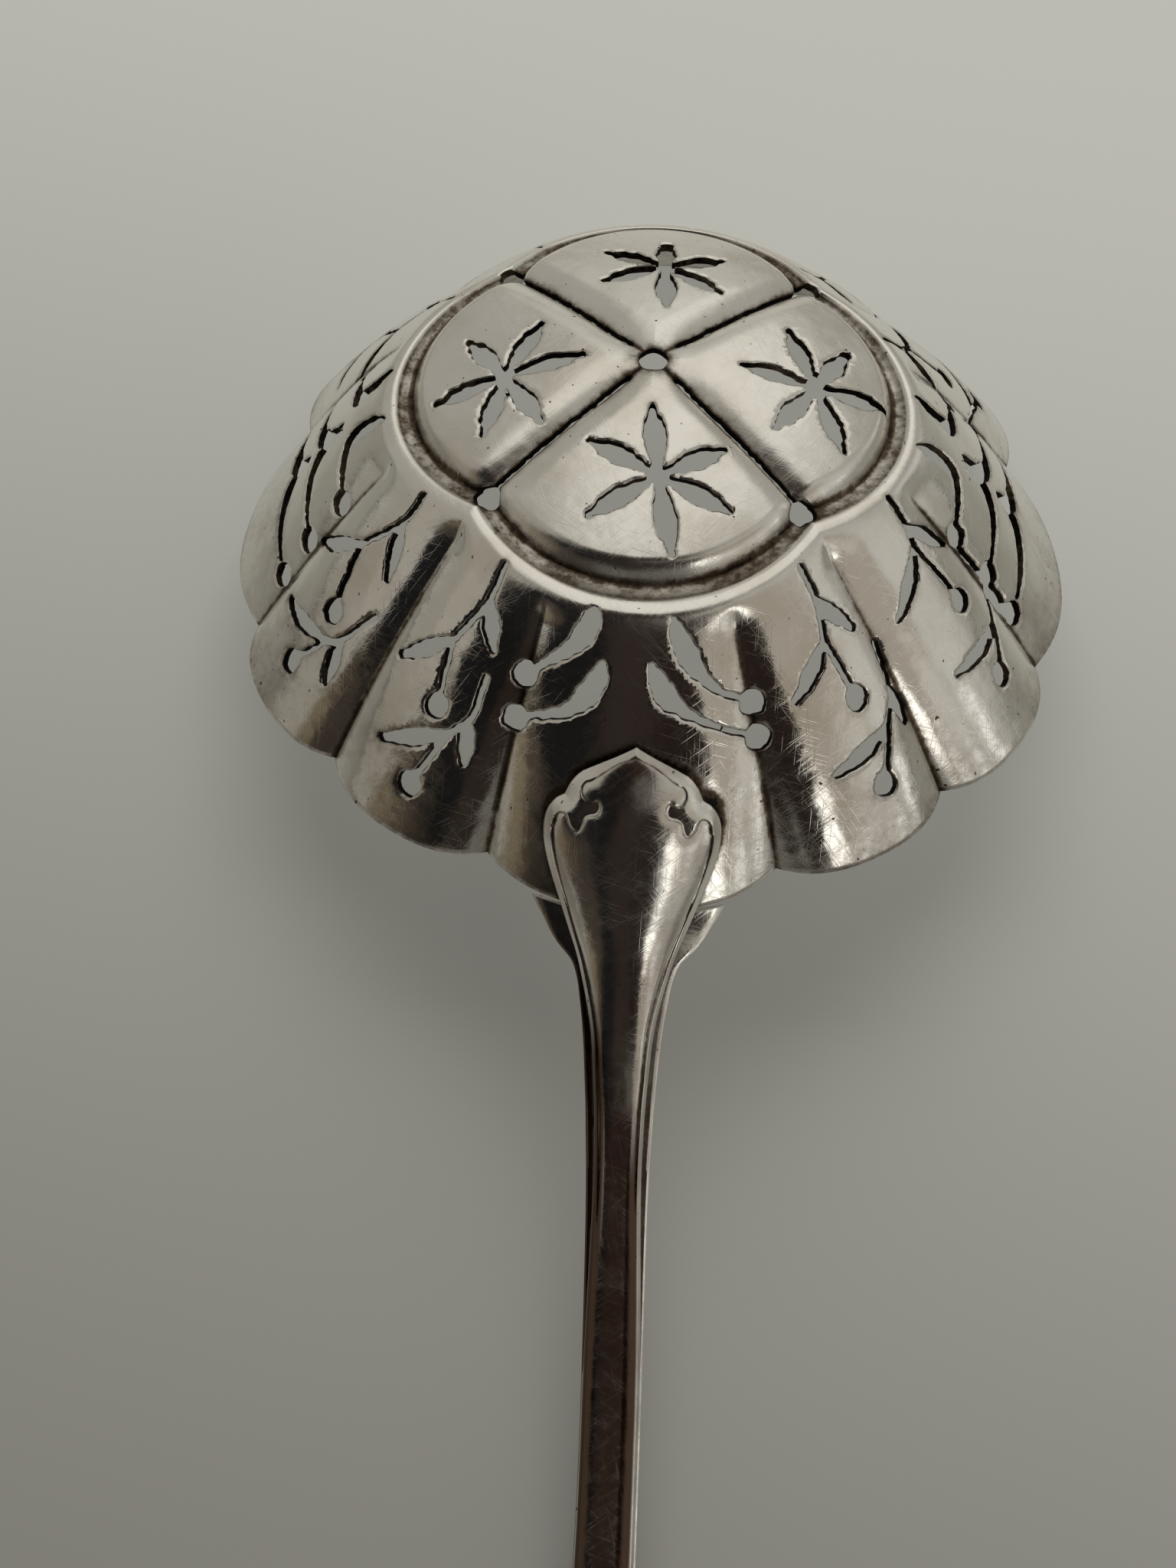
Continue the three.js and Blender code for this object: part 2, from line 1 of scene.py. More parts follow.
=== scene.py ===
"""Dresses a pierced silver serving spoon, lying face down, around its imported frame.

The spoon sifts sugar: a fluted bowl of sheet silver, pierced by saw and drill, with a forged handle
whose tongue laps the bowl. Sizes are millimetres in the bowl's own frame, with the rim plane at z = 0,
the mouth down and the handle towards -Y, and turn into metres of the row frame as each mesh is made.
"""

from __future__ import annotations

import logging
import math
from collections.abc import Callable, Sequence
from dataclasses import dataclass, field
from enum import Enum
from functools import partial

import bpy
import numpy as np
from mathutils import Matrix, Vector

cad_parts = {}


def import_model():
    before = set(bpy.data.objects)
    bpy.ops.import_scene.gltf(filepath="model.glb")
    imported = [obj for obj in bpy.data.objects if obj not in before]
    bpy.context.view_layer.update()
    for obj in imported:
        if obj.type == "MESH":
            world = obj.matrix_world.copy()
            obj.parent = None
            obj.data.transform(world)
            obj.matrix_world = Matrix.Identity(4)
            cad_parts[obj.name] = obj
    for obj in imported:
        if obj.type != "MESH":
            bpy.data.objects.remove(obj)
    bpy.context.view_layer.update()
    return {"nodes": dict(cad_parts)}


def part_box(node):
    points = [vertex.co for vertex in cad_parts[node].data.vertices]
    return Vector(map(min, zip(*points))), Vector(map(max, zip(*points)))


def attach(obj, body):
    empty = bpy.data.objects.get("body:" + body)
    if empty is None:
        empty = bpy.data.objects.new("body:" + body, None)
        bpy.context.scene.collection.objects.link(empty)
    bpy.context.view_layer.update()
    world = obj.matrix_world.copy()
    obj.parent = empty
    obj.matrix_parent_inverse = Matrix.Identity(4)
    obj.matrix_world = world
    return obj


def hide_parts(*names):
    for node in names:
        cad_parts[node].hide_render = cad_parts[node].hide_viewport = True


LOG = logging.getLogger("pierced_spoon")
MM = 0.001
QUARTER = math.pi / 2
TINY = 1e-12
FAR = 9.0
Place = tuple[float, float]
Vec3 = tuple[float, float, float]
Colour = tuple[float, float, float, float]
Measure = Callable[[np.ndarray, np.ndarray], np.ndarray]


def smoothstep(value: np.ndarray, low: float, high: float) -> np.ndarray:
    """Eases from 0 at low to 1 at high."""
    share = np.clip((value - low) / (high - low), 0, 1)
    return share * share * (3 - 2 * share)


def blend(low: np.ndarray, high: np.ndarray, share: np.ndarray) -> np.ndarray:
    """Goes from low to high with share."""
    return low + (high - low) * share


def bezier(corners: Sequence[np.ndarray], share: np.ndarray) -> np.ndarray:
    """Follows a cubic Bezier curve.

    Args:
        corners: Its four control points.
        share: Shares of the way along it.

    Returns:
        A point for each share.
    """
    a, b, c, d = corners
    t = np.asarray(share)[..., None]
    return (1 - t) ** 3 * a + 3 * (1 - t) ** 2 * t * b + 3 * (1 - t) * t * t * c + t**3 * d


def spline(places: Sequence[Place], count: int) -> np.ndarray:
    """Draws a smooth line through a row of places.

    Args:
        places: Pairs of coordinates, passed in order.
        count: Steps between each two of them.

    Returns:
        The points of the line, one row each.
    """
    knots = np.array(places, float)
    ends = np.vstack([2 * knots[0] - knots[1], knots, 2 * knots[-1] - knots[-2]])
    rows = []
    for i in range(len(knots) - 1):
        before, start, end, after = ends[i : i + 4]
        t = np.linspace(0, 1, count, endpoint=False)[:, None]
        rows.append(
            start
            + 0.5 * t * (end - before)
            + t**2 * (before - 2.5 * start + 2 * end - 0.5 * after)
            + t**3 * (1.5 * (start - end) + 0.5 * (after - before))
        )
    return np.vstack([*rows, knots[-1:]])


def distance_to_outline(points: np.ndarray, outline: np.ndarray) -> np.ndarray:
    """Measures flat points against a closed outline.

    Args:
        points: The points, one row each.
        outline: Corners of the outline in order.

    Returns:
        Distance to the outline, negative inside it.
    """
    nearest = np.full(len(points), np.inf)
    inside = np.zeros(len(points), bool)
    for a, b in zip(outline, np.roll(outline, -1, axis=0)):
        along = b - a
        share = np.clip((points - a) @ along / max(along @ along, TINY), 0, 1)
        nearest = np.minimum(nearest, np.linalg.norm(points - a - share[:, None] * along, axis=1))
        crosses = (a[1] > points[:, 1]) != (b[1] > points[:, 1])
        if abs(along[1]) > TINY:
            inside ^= crosses & (points[:, 0] < a[0] + (points[:, 1] - a[1]) * along[0] / along[1])
    return np.where(inside, -nearest, nearest)


@dataclass(frozen=True)
class BowlShape:
    """Sizes and surface of the fluted bowl, in millimetres and degrees."""

    sheet: float = 0.6
    rim_valley_radius: float = 32.4
    rim_slope: float = 56
    crest_radius: float = 20.1
    crest_height: float = 16.2
    crest_slope: float = 47
    crest_round: float = 0.45
    crest_shift: Place = (-0.42, -0.2)
    crown_height: float = 20.4
    crown_drop: float = 4.1
    foil_offset: float = 5.6
    wide_flute_angle: float = 38.4
    wide_flute_bulge: float = 1.2
    handle_flute_bulge: float = 2.6
    narrow_flute_bulge: float = 1.9
    bead_width: float = 0.75
    channel_setback: float = 2.0
    channel_depth: float = 0.4
    channel_power: int = 3
    pad_roll: float = 1.1
    groove_roll: float = 2.6
    groove_depth: float = 0.9
    groove_centre: float = 0.25
    groove_run: float = 5.5
    pad_shift: Place = (-0.42, 0.6)
    centre_hole: float = 2.2
    crest_pull: float = 0.3
    rim_pull: float = 0.48
    crest_rise: float = 0.45
    swell_power: float = 1.6
    flute_power: float = 2.7
    valley_depth: float = 0.75
    valley_start: float = 0.16
    level_rim_share: float = 0.9
    tuck: float = 1.4
    tuck_starts: Place = (76, 106)
    tuck_ends: Place = (140, 168)

    @property
    def crest_arc(self) -> float:
        """Radius of each of the four arcs that the crest is made of."""
        return self.crest_radius - self.foil_offset

    @property
    def wide_half(self) -> float:
        """Half the angle of a wide flute, in radians."""
        return math.radians(self.wide_flute_angle / 2)

    @property
    def narrow_half(self) -> float:
        """Half the angle of a narrow flute, in radians."""
        return (QUARTER / 2 - self.wide_half) / 2

    @property
    def narrow_middle(self) -> float:
        """Angle from a wide flute's middle to a narrow flute's middle, in radians."""
        return self.wide_half + self.narrow_half

    @property
    def far_reach(self) -> float:
        """Radius of the rim on the side away from the handle."""
        return self.rim_valley_radius + self.wide_flute_bulge

    @staticmethod
    def from_axis(angle: np.ndarray) -> np.ndarray:
        """Angle from the middle of the nearest wide flute."""
        return angle - QUARTER * np.round(angle / QUARTER)

    @staticmethod
    def around(angle: np.ndarray, radius: np.ndarray, height: np.ndarray) -> np.ndarray:
        """Point at an angle from the handle, a radius and a height."""
        return np.stack([radius * np.sin(angle), -radius * np.cos(angle), height + 0 * angle], -1)

    def foil_radius(self, angle: np.ndarray, arc: float) -> np.ndarray:
        """Radius of a four-lobed line whose lobes have the given arc."""
        off = self.from_axis(angle)
        return self.foil_offset * np.cos(off) + np.sqrt(arc**2 - (self.foil_offset * np.sin(off)) ** 2)

    def crest(self, angle: np.ndarray) -> tuple[np.ndarray, np.ndarray]:
        """Radius and height of the crest round the medallion."""
        radius = self.foil_radius(angle, self.crest_arc)
        return radius, self.crest_height + (self.crest_radius - radius) * self.crest_rise

    def setback(self, angle: np.ndarray, radius: np.ndarray) -> np.ndarray:
        """Distance in from the crest."""
        off = self.from_axis(angle)
        return self.crest_arc - np.hypot(radius * np.cos(off) - self.foil_offset, radius * np.sin(off))

    def from_groove(self, angle: np.ndarray, radius: np.ndarray) -> np.ndarray:
        """Distance from the nearest groove between two pads."""
        return radius * np.sin(QUARTER / 2 - np.abs(self.from_axis(angle)))

    def crest_fall(self, across: np.ndarray) -> np.ndarray:
        """How far rounding lowers the crest, by the distance across it."""
        slope = math.tan(math.radians(self.crest_slope)) / 2
        return slope * (np.hypot(across, self.crest_round) - np.abs(across))

    def pad_height(self, angle: np.ndarray, radius: np.ndarray) -> np.ndarray:
        """Height of the medallion: beaded crest, hollow channel, then pads with grooves between them.

        Args:
            angle: Angles from the handle.
            radius: Distances from the medallion's centre.

        Returns:
            Heights above the rim plane.
        """
        back = np.maximum(self.setback(angle, radius), 0)
        edge = self.crest(angle)[1] - self.crest_fall(back)
        inward = np.clip((back - self.bead_width) / (self.channel_setback - self.bead_width), 0, 1)
        edge = edge - self.channel_depth * (1 - (1 - inward) ** self.channel_power)
        rise = np.clip((back - self.channel_setback) / self.pad_roll, 0, 1)
        crown = self.crown_height - self.crown_drop * (radius / self.crest_radius) ** 2
        near = 1 - np.minimum(self.from_groove(angle, radius) / self.groove_roll, 1)
        depth = self.groove_depth * blend(self.groove_centre, 1, smoothstep(radius, 0, self.groove_run))
        return blend(edge, crown - depth * near**2, 1 - (1 - rise) ** 2)

    def pad_point(self, flat: np.ndarray) -> np.ndarray:
        """Finds the skin of the medallion.

        Args:
            flat: Flat places measured from the medallion's own centre.

        Returns:
            The point of the skin over each place.
        """
        x, y = flat[..., 0], flat[..., 1]
        angle, radius = np.arctan2(x, -y), np.hypot(x, y)
        inward = smoothstep(self.setback(angle, radius), 0, self.channel_setback)
        shift = [blend(crest, pad, inward) for crest, pad in zip(self.crest_shift, self.pad_shift)]
        return np.stack([x + shift[0], y + shift[1], self.pad_height(angle, radius)], -1)

    def pad_radius(self, row: np.ndarray, angle: np.ndarray) -> np.ndarray:
        """Radius from the medallion's centre of rows from the centre hole, 0, to the crest, 1."""
        start = self.centre_hole / 2
        return start + (self.crest(angle)[0] - start) * np.minimum(row, 1)

    def flute_swell(self, share: np.ndarray, angle: np.ndarray) -> np.ndarray:
        """How far the flutes stand out from the plain wall.

        Args:
            share: Shares of the way down from the crest to the rim.
            angle: Angles from the handle.

        Returns:
            Distances outward, least in the valleys between two flutes.
        """
        off = np.abs(self.from_axis(angle))
        narrow = np.abs(off - self.narrow_middle) / self.narrow_half
        wide = np.minimum(off / self.wide_half, 1)
        handle = np.cos(angle) > math.cos(QUARTER / 2)
        wide_bulge = np.where(handle, self.handle_flute_bulge, self.wide_flute_bulge)
        bulge = np.where(off > self.wide_half, self.narrow_flute_bulge, wide_bulge)
        across = np.where(off > self.wide_half, narrow, wide)
        valley = -self.valley_depth * smoothstep(share, 0, self.valley_start) * (1 - share)
        turn = np.degrees(np.abs(np.arctan2(np.sin(angle), np.cos(angle))))
        tucked = self.tuck * smoothstep(turn, *self.tuck_starts) * (1 - smoothstep(turn, *self.tuck_ends))
        valley = valley - tucked * share**self.swell_power
        ridge = (bulge - tucked) * share**self.swell_power
        return valley + (ridge - valley) * (1 - across**self.flute_power)

    def wall_profile(self, share: np.ndarray, angle: np.ndarray) -> tuple[np.ndarray, np.ndarray]:
        """Wall before its flutes.

        Args:
            share: Shares of the way down from the crest to the rim.
            angle: Angles from the handle.

        Returns:
            Points in radius and height, and the directions down the wall there.
        """
        radius, height = self.crest(angle)
        top = np.stack([radius, height], -1)
        rim = np.stack([self.rim_valley_radius + 0 * radius, 0 * radius], -1)
        chord = np.linalg.norm(top - rim, axis=-1)[..., None]
        upper, lower = math.radians(self.crest_slope), math.radians(self.rim_slope)
        leave = top + np.array([math.cos(upper), -math.sin(upper)]) * chord * self.crest_pull
        arrive = rim - np.array([math.cos(lower), -math.sin(lower)]) * chord * self.rim_pull
        t = share[..., None]
        way = (1 - t) ** 2 * (leave - top) + 2 * (1 - t) * t * (arrive - leave) + t**2 * (rim - arrive)
        point = bezier((top, leave, arrive, rim), share)
        return point, way / np.linalg.norm(way, axis=-1)[..., None]

    def wall_point(self, share: np.ndarray, angle: np.ndarray) -> np.ndarray:
        """Finds the wall's outer skin, before the crest is rounded.

        Args:
            share: Shares of the way down from the crest to the rim.
            angle: Angles from the handle.

        Returns:
            Points of the skin.
        """
        share, angle = np.broadcast_arrays(np.asarray(share, float), np.asarray(angle, float))
        point = self.wall_profile(share, angle)[0]
        wall = self.around(angle, point[..., 0] + self.flute_swell(share, angle), point[..., 1])
        wall[..., :2] += np.array(self.crest_shift) * (1 - share[..., None])
        return wall

    def skin(self, row: np.ndarray, angle: np.ndarray) -> tuple[np.ndarray, np.ndarray]:
        """Whole outer skin.

        Args:
            row: 0 at the centre hole, 1 at the crest and 2 at the rim.
            angle: Angles from the handle.

        Returns:
            Points of the skin, and the direction of the sheet's thickness there.
        """
        radius, crest = self.pad_radius(row, angle), self.crest(angle)[0]
        lean = math.radians(self.crest_slope) * (radius / crest) ** 2
        pad = self.pad_point(self.around(angle, radius, 0 * radius)[..., :2])
        pad_out = self.around(angle, np.sin(lean), np.cos(lean))
        share = np.maximum(row - 1, 0)
        point, way = self.wall_profile(share, angle)
        wall = self.wall_point(share, angle)
        wall[..., 2] -= self.crest_fall(point[..., 0] - crest)
        level = smoothstep(share, self.level_rim_share, 1)
        wall_out = self.around(angle, blend(-way[..., 1], -1 / way[..., 1], level), way[..., 0] * (1 - level))
        on_wall = (row > 1)[..., None]
        return np.where(on_wall, wall, pad), np.where(on_wall, wall_out, pad_out)


@dataclass(frozen=True)
class Cut:
    """One saw cut or drilled hole: a line of points on the skin with its half width at each."""

    points: np.ndarray
    radii: np.ndarray

    def clearance(self, points: np.ndarray) -> np.ndarray:
        """Measures points of the skin against the cut.

        Args:
            points: The points, one row each.

        Returns:
            Distance to the edge of the cut, negative inside it.
        """
        if len(self.points) == 1:
            return np.linalg.norm(points - self.points[0], axis=1) - self.radii[0]
        nearest = np.full(len(points), np.inf)
        for i in range(len(self.points) - 1):
            start, along = self.points[i], self.points[i + 1] - self.points[i]
            share = np.clip((points - start) @ along / (along @ along), 0, 1)
            radius = self.radii[i] + share * (self.radii[i + 1] - self.radii[i])
            gap = np.linalg.norm(points - start - share[:, None] * along, axis=1) - radius
            nearest = np.minimum(nearest, gap)
        return nearest


@dataclass(frozen=True)
class Sprig:
    """A stem with two leaves and a berry, as places on a narrow flute.

    A place is a share of the way down the wall and a share of the way across the flute, from -1 at
    the groove nearer the handle's axis to 1. The stem runs from its free end, past the root of the
    first leaf, to the fork that bears the second leaf and the berry's twig.
    """

    stem: tuple[Place, ...]
    first: Place
    second: Place
    berry: Place


@dataclass(frozen=True)
class Petal:
    """A petal's direction in degrees from +X, its length and half the width of its tip."""

    way: float
    length: float
    tip: float = 0.25


@dataclass(frozen=True)
class Flower:
    """Six petals round a drilled middle on a pad, each flower sawn a little differently."""

    middle: Place
    petals: tuple[Petal, ...]


@dataclass(frozen=True)
class Piercing:
    """Every hole that is sawn or drilled through the bowl."""

    shape: BowlShape
    ring_hole: float = 2.1
    ring_setback: float = 1.65
    groove_slit: float = 0.5
    groove_slit_start: float = 2.5
    flower_hub: float = 0.8
    petal_share: tuple[float, ...] = (0, 0.16, 0.37, 0.57, 0.75, 0.89)
    petal_half: tuple[float, ...] = (0.38, 0.36, 0.66, 0.86, 0.7, 0.34)
    flowers: tuple[Flower, ...] = (
        Flower(
            (0.88, -10.6),
            (
                Petal(97, 5.9), Petal(29, 5.4), Petal(-24, 5.8),
                Petal(-78, 6.1), Petal(-146, 5.9), Petal(152, 5.8),
            ),
        ),
        Flower(
            (-11.0, -1.4),
            (
                Petal(66, 5.8), Petal(16, 6.0), Petal(-56, 5.5),
                Petal(-102, 5.6), Petal(-159, 5.3), Petal(126, 5.2),
            ),
        ),
        Flower(
            (12.2, -0.8),
            (
                Petal(111, 6.0), Petal(62, 4.7, 0.5), Petal(-3, 5.3),
                Petal(-69, 5.8), Petal(-123, 5.5), Petal(170, 5.7),
            ),
        ),
        Flower(
            (0.44, 11.2),
            (
                Petal(90, 3.0, 0.6), Petal(18, 4.7), Petal(-35, 5.3),
                Petal(-87, 5.3), Petal(-154, 5.2), Petal(157, 5.0),
            ),
        ),
    )
    berry: float = 2.0
    stem_half: float = 0.27
    leaf_share: tuple[float, ...] = (0, 0.25, 0.52, 0.8, 1)
    leaf_half: tuple[float, ...] = (0.25, 0.54, 0.74, 0.48, 0.3)
    flute_leaf_share: tuple[float, ...] = (0, 0.15, 0.36, 0.56, 0.84, 1)
    flute_leaf_half: tuple[float, ...] = (0.27, 0.66, 0.86, 0.52, 0.23, 0.2)
    handle_left_leaves: tuple[tuple[Place, ...], ...] = (
        ((0.01, 0.47), (0.06, 0.48), (0.14, 0.55), (0.22, 0.69), (0.32, 0.91), (0.38, 1.02)),
        ((0.22, 0.31), (0.29, 0.35), (0.37, 0.45), (0.44, 0.6), (0.51, 0.87), (0.555, 1.02)),
    )
    handle_right_leaves: tuple[tuple[Place, ...], ...] = (
        ((0.035, 0.38), (0.12, 0.43), (0.2, 0.51), (0.28, 0.61), (0.36, 0.77), (0.447, 1.03)),
        ((0.215, 0.15), (0.28, 0.21), (0.34, 0.28), (0.39, 0.4), (0.455, 0.6), (0.58, 1.02)),
    )
    side_leaves: tuple[tuple[Place, ...], ...] = (
        ((0.02, 0.37), (0.12, 0.29), (0.24, 0.29), (0.31, 0.5), (0.35, 0.68), (0.4, 0.86)),
        ((0.33, 0.04), (0.45, 0.05), (0.53, 0.22), (0.575, 0.52), (0.63, 0.86)),
        ((0.59, 0.01), (0.68, 0.04), (0.73, 0.28), (0.77, 0.6), (0.81, 0.88)),
    )
    left_sprigs: tuple[tuple[Sprig, ...], ...] = (
        (
            Sprig(((0.005, -0.13), (0.155, -0.12), (0.38, 0.16)), (0.325, -0.45), (0.58, 0.8), (0.61, 0.0)),
            Sprig(
                ((0.43, -0.48), (0.555, -0.48), (0.605, -0.45), (0.675, -0.25)),
                (0.745, -0.53), (0.808, 0.49), (0.863, -0.04),
            ),
        ),
        (
            Sprig(
                ((0.02, -0.04), (0.16, -0.05), (0.362, 0.3)),
                (0.385, -0.43), (0.577, 1.03), (0.622, -0.04),
            ),
            Sprig(((0.53, -0.6), (0.67, -0.38), (0.712, -0.21)), (0.81, -0.51), (0.773, 0.71), (0.85, 0.04)),
        ),
    )
    right_sprigs: tuple[tuple[Sprig, ...], ...] = (
        (
            Sprig(((0.03, 0.35), (0.176, 0.38), (0.32, 0.24)), (0.367, 0.78), (0.469, -0.42), (0.561, 0.38)),
            Sprig(((0.484, 1.0), (0.634, 0.89), (0.703, 0.63)), (0.754, 0.9), (0.748, -0.2), (0.838, 0.32)),
        ),
        (
            Sprig(((0.01, 0.56), (0.156, 0.5), (0.242, 0.36)), (0.369, 0.92), (0.433, -0.55), (0.534, 0.46)),
            Sprig(((0.465, 1.1), (0.641, 1.1), (0.716, 0.72)), (0.8, 1.08), (0.705, -0.23), (0.82, 0.32)),
        ),
    )
    saw_waver: float = 0.03
    saw_waves: tuple[Vec3, ...] = ((5.1, 0, 2.9), (-3.7, 6.3, 0), (0, 8.9, 9.7))
    reach: float = 3.0
    steps: int = 7

    def on_wall(self, places: np.ndarray, radii: np.ndarray) -> Cut:
        """A cut through the wall along a row of places."""
        return Cut(self.shape.wall_point(places[:, 0], places[:, 1]), radii)

    def drilled(self, place: Place) -> Cut:
        """A berry at a place on the wall."""
        return self.on_wall(np.array([place]), np.array([self.berry / 2]))

    def flute_leaf(self, axis: float, side: int, leaf: tuple[Place, ...]) -> list[Cut]:
        """Cuts a leaf of a wide flute, with the berry that its stem ends in.

        Args:
            axis: Angle of the flute's middle.
            side: 1 or -1, the half of the flute.
            leaf: Places from the tip to the berry.

        Returns:
            The leaf and the berry.
        """
        places = [(share, axis + side * across * self.shape.wide_half) for share, across in leaf]
        way = spline(places, self.steps)
        radii = np.interp(np.linspace(0, 1, len(way)), self.flute_leaf_share, self.flute_leaf_half)
        return [self.on_wall(way, radii), self.drilled(places[-1])]

    def leaf(self, root: Place, tip: Place) -> Cut:
        """Cuts a sprig's leaf.

        Args:
            root: Its place on the stem, as a share of the wall and an angle.
            tip: The place of its tip.

        Returns:
            The leaf.
        """
        shares = np.linspace(0, 1, self.steps + 1)
        way = np.array(root) + shares[:, None] * (np.array(tip) - np.array(root))
        return self.on_wall(way, np.interp(shares, self.leaf_share, self.leaf_half))

    def sprig(self, middle: float, side: int, sprig: Sprig) -> list[Cut]:
        """Cuts a sprig of a narrow flute.

        Args:
            middle: Angle of the flute's middle.
            side: 1 or -1, the way in which its places run across the flute.
            sprig: Its places.

        Returns:
            The stem, the berry with its own twig, and two leaves.
        """
        turn = side * self.shape.narrow_half
        places = (*sprig.stem, sprig.first, sprig.second, sprig.berry)
        *stem, first, second, berry = [(share, middle + turn * across) for share, across in places]
        line, twig = spline(stem, self.steps), spline([stem[-1], berry], self.steps)
        return [
            self.on_wall(line, np.full(len(line), self.stem_half)),
            self.on_wall(twig, np.full(len(twig), self.stem_half)),
            self.leaf(stem[-2], first),
            self.leaf(stem[-1], second),
            self.drilled(berry),
        ]

    def wall_cuts(self) -> list[list[Cut]]:
        """Cuts the leaves of the wide flutes and the sprigs of the narrow ones.

        Returns:
            The cuts, grouped by motif.
        """
        motifs = [self.flute_leaf(0, 1, leaf) for leaf in self.handle_right_leaves]
        motifs += [self.flute_leaf(0, -1, leaf) for leaf in self.handle_left_leaves]
        for quarter in (1, 2, 3):
            for leaf in self.side_leaves:
                motifs += [self.flute_leaf(quarter * QUARTER, side, leaf) for side in (1, -1)]
        middles = (self.shape.narrow_middle, QUARTER - self.shape.narrow_middle)
        for middle, left, right in zip(middles, self.left_sprigs, self.right_sprigs):
            for sprig in left:
                motifs += [self.sprig(-middle, -1, sprig), self.sprig(middle - math.pi, 1, sprig)]
            for sprig in right:
                motifs += [self.sprig(middle, 1, sprig), self.sprig(math.pi - middle, -1, sprig)]
        return motifs

    def on_pads(self, flat: np.ndarray, radii: np.ndarray) -> Cut:
        """A cut through the medallion along flat points."""
        return Cut(self.shape.pad_point(flat), radii)

    def flower_cuts(self, flower: Flower) -> list[Cut]:
        """Cuts the petals of a flower and the hole in its middle.

        Args:
            flower: Its middle and petals.

        Returns:
            The cuts.
        """
        middle = np.array(flower.middle)
        cuts = [self.on_pads(middle[None], np.array([self.flower_hub]))]
        for petal in flower.petals:
            way = math.radians(petal.way)
            shares = np.array([*self.petal_share, 1])
            line = middle + np.outer(shares * petal.length, [math.cos(way), math.sin(way)])
            cuts.append(self.on_pads(line, np.array([*self.petal_half, petal.tip])))
        return cuts

    def medallion_cuts(self) -> list[list[Cut]]:
        """Cuts the flowers, the slits in the grooves between the pads, and the holes of the ring.

        Returns:
            The cuts, grouped by motif.
        """
        motifs = [self.flower_cuts(flower) for flower in self.flowers]
        arc = self.shape.crest_arc - self.ring_setback
        ring = float(self.shape.foil_radius(np.array(QUARTER / 2), arc))
        for quarter in range(4):
            way = (quarter + 0.5) * QUARTER
            radii = np.linspace(self.groove_slit_start, ring, 4 * self.steps)
            line = np.outer(radii, [math.sin(way), -math.cos(way)])
            slit = self.on_pads(line, np.full(len(line), self.groove_slit / 2))
            motifs.append([slit, self.on_pads(line[-1:], np.array([self.ring_hole / 2]))])
        return motifs

    def waver(self, points: np.ndarray) -> np.ndarray:
        """Small wander of a hand-held saw, by place."""
        return self.saw_waver * np.sin(points @ np.array(self.saw_waves).T).sum(axis=1)

    def clearance(self, points: np.ndarray, motifs: list[list[Cut]]) -> np.ndarray:
        """Measures points of the skin against every hole.

        Args:
            points: The points, one row each.
            motifs: The holes, grouped by motif.

        Returns:
            Distance to the nearest edge of a hole, negative inside one, up to a few millimetres.
        """
        nearest = np.full(len(points), self.reach)
        for cuts in motifs:
            line = np.vstack([cut.points for cut in cuts])
            low, high = line.min(0) - self.reach, line.max(0) + self.reach
            near = np.all((points > low) & (points < high), axis=1)
            for cut in cuts:
                nearest[near] = np.minimum(nearest[near], cut.clearance(points[near]))
        return nearest + self.waver(points)


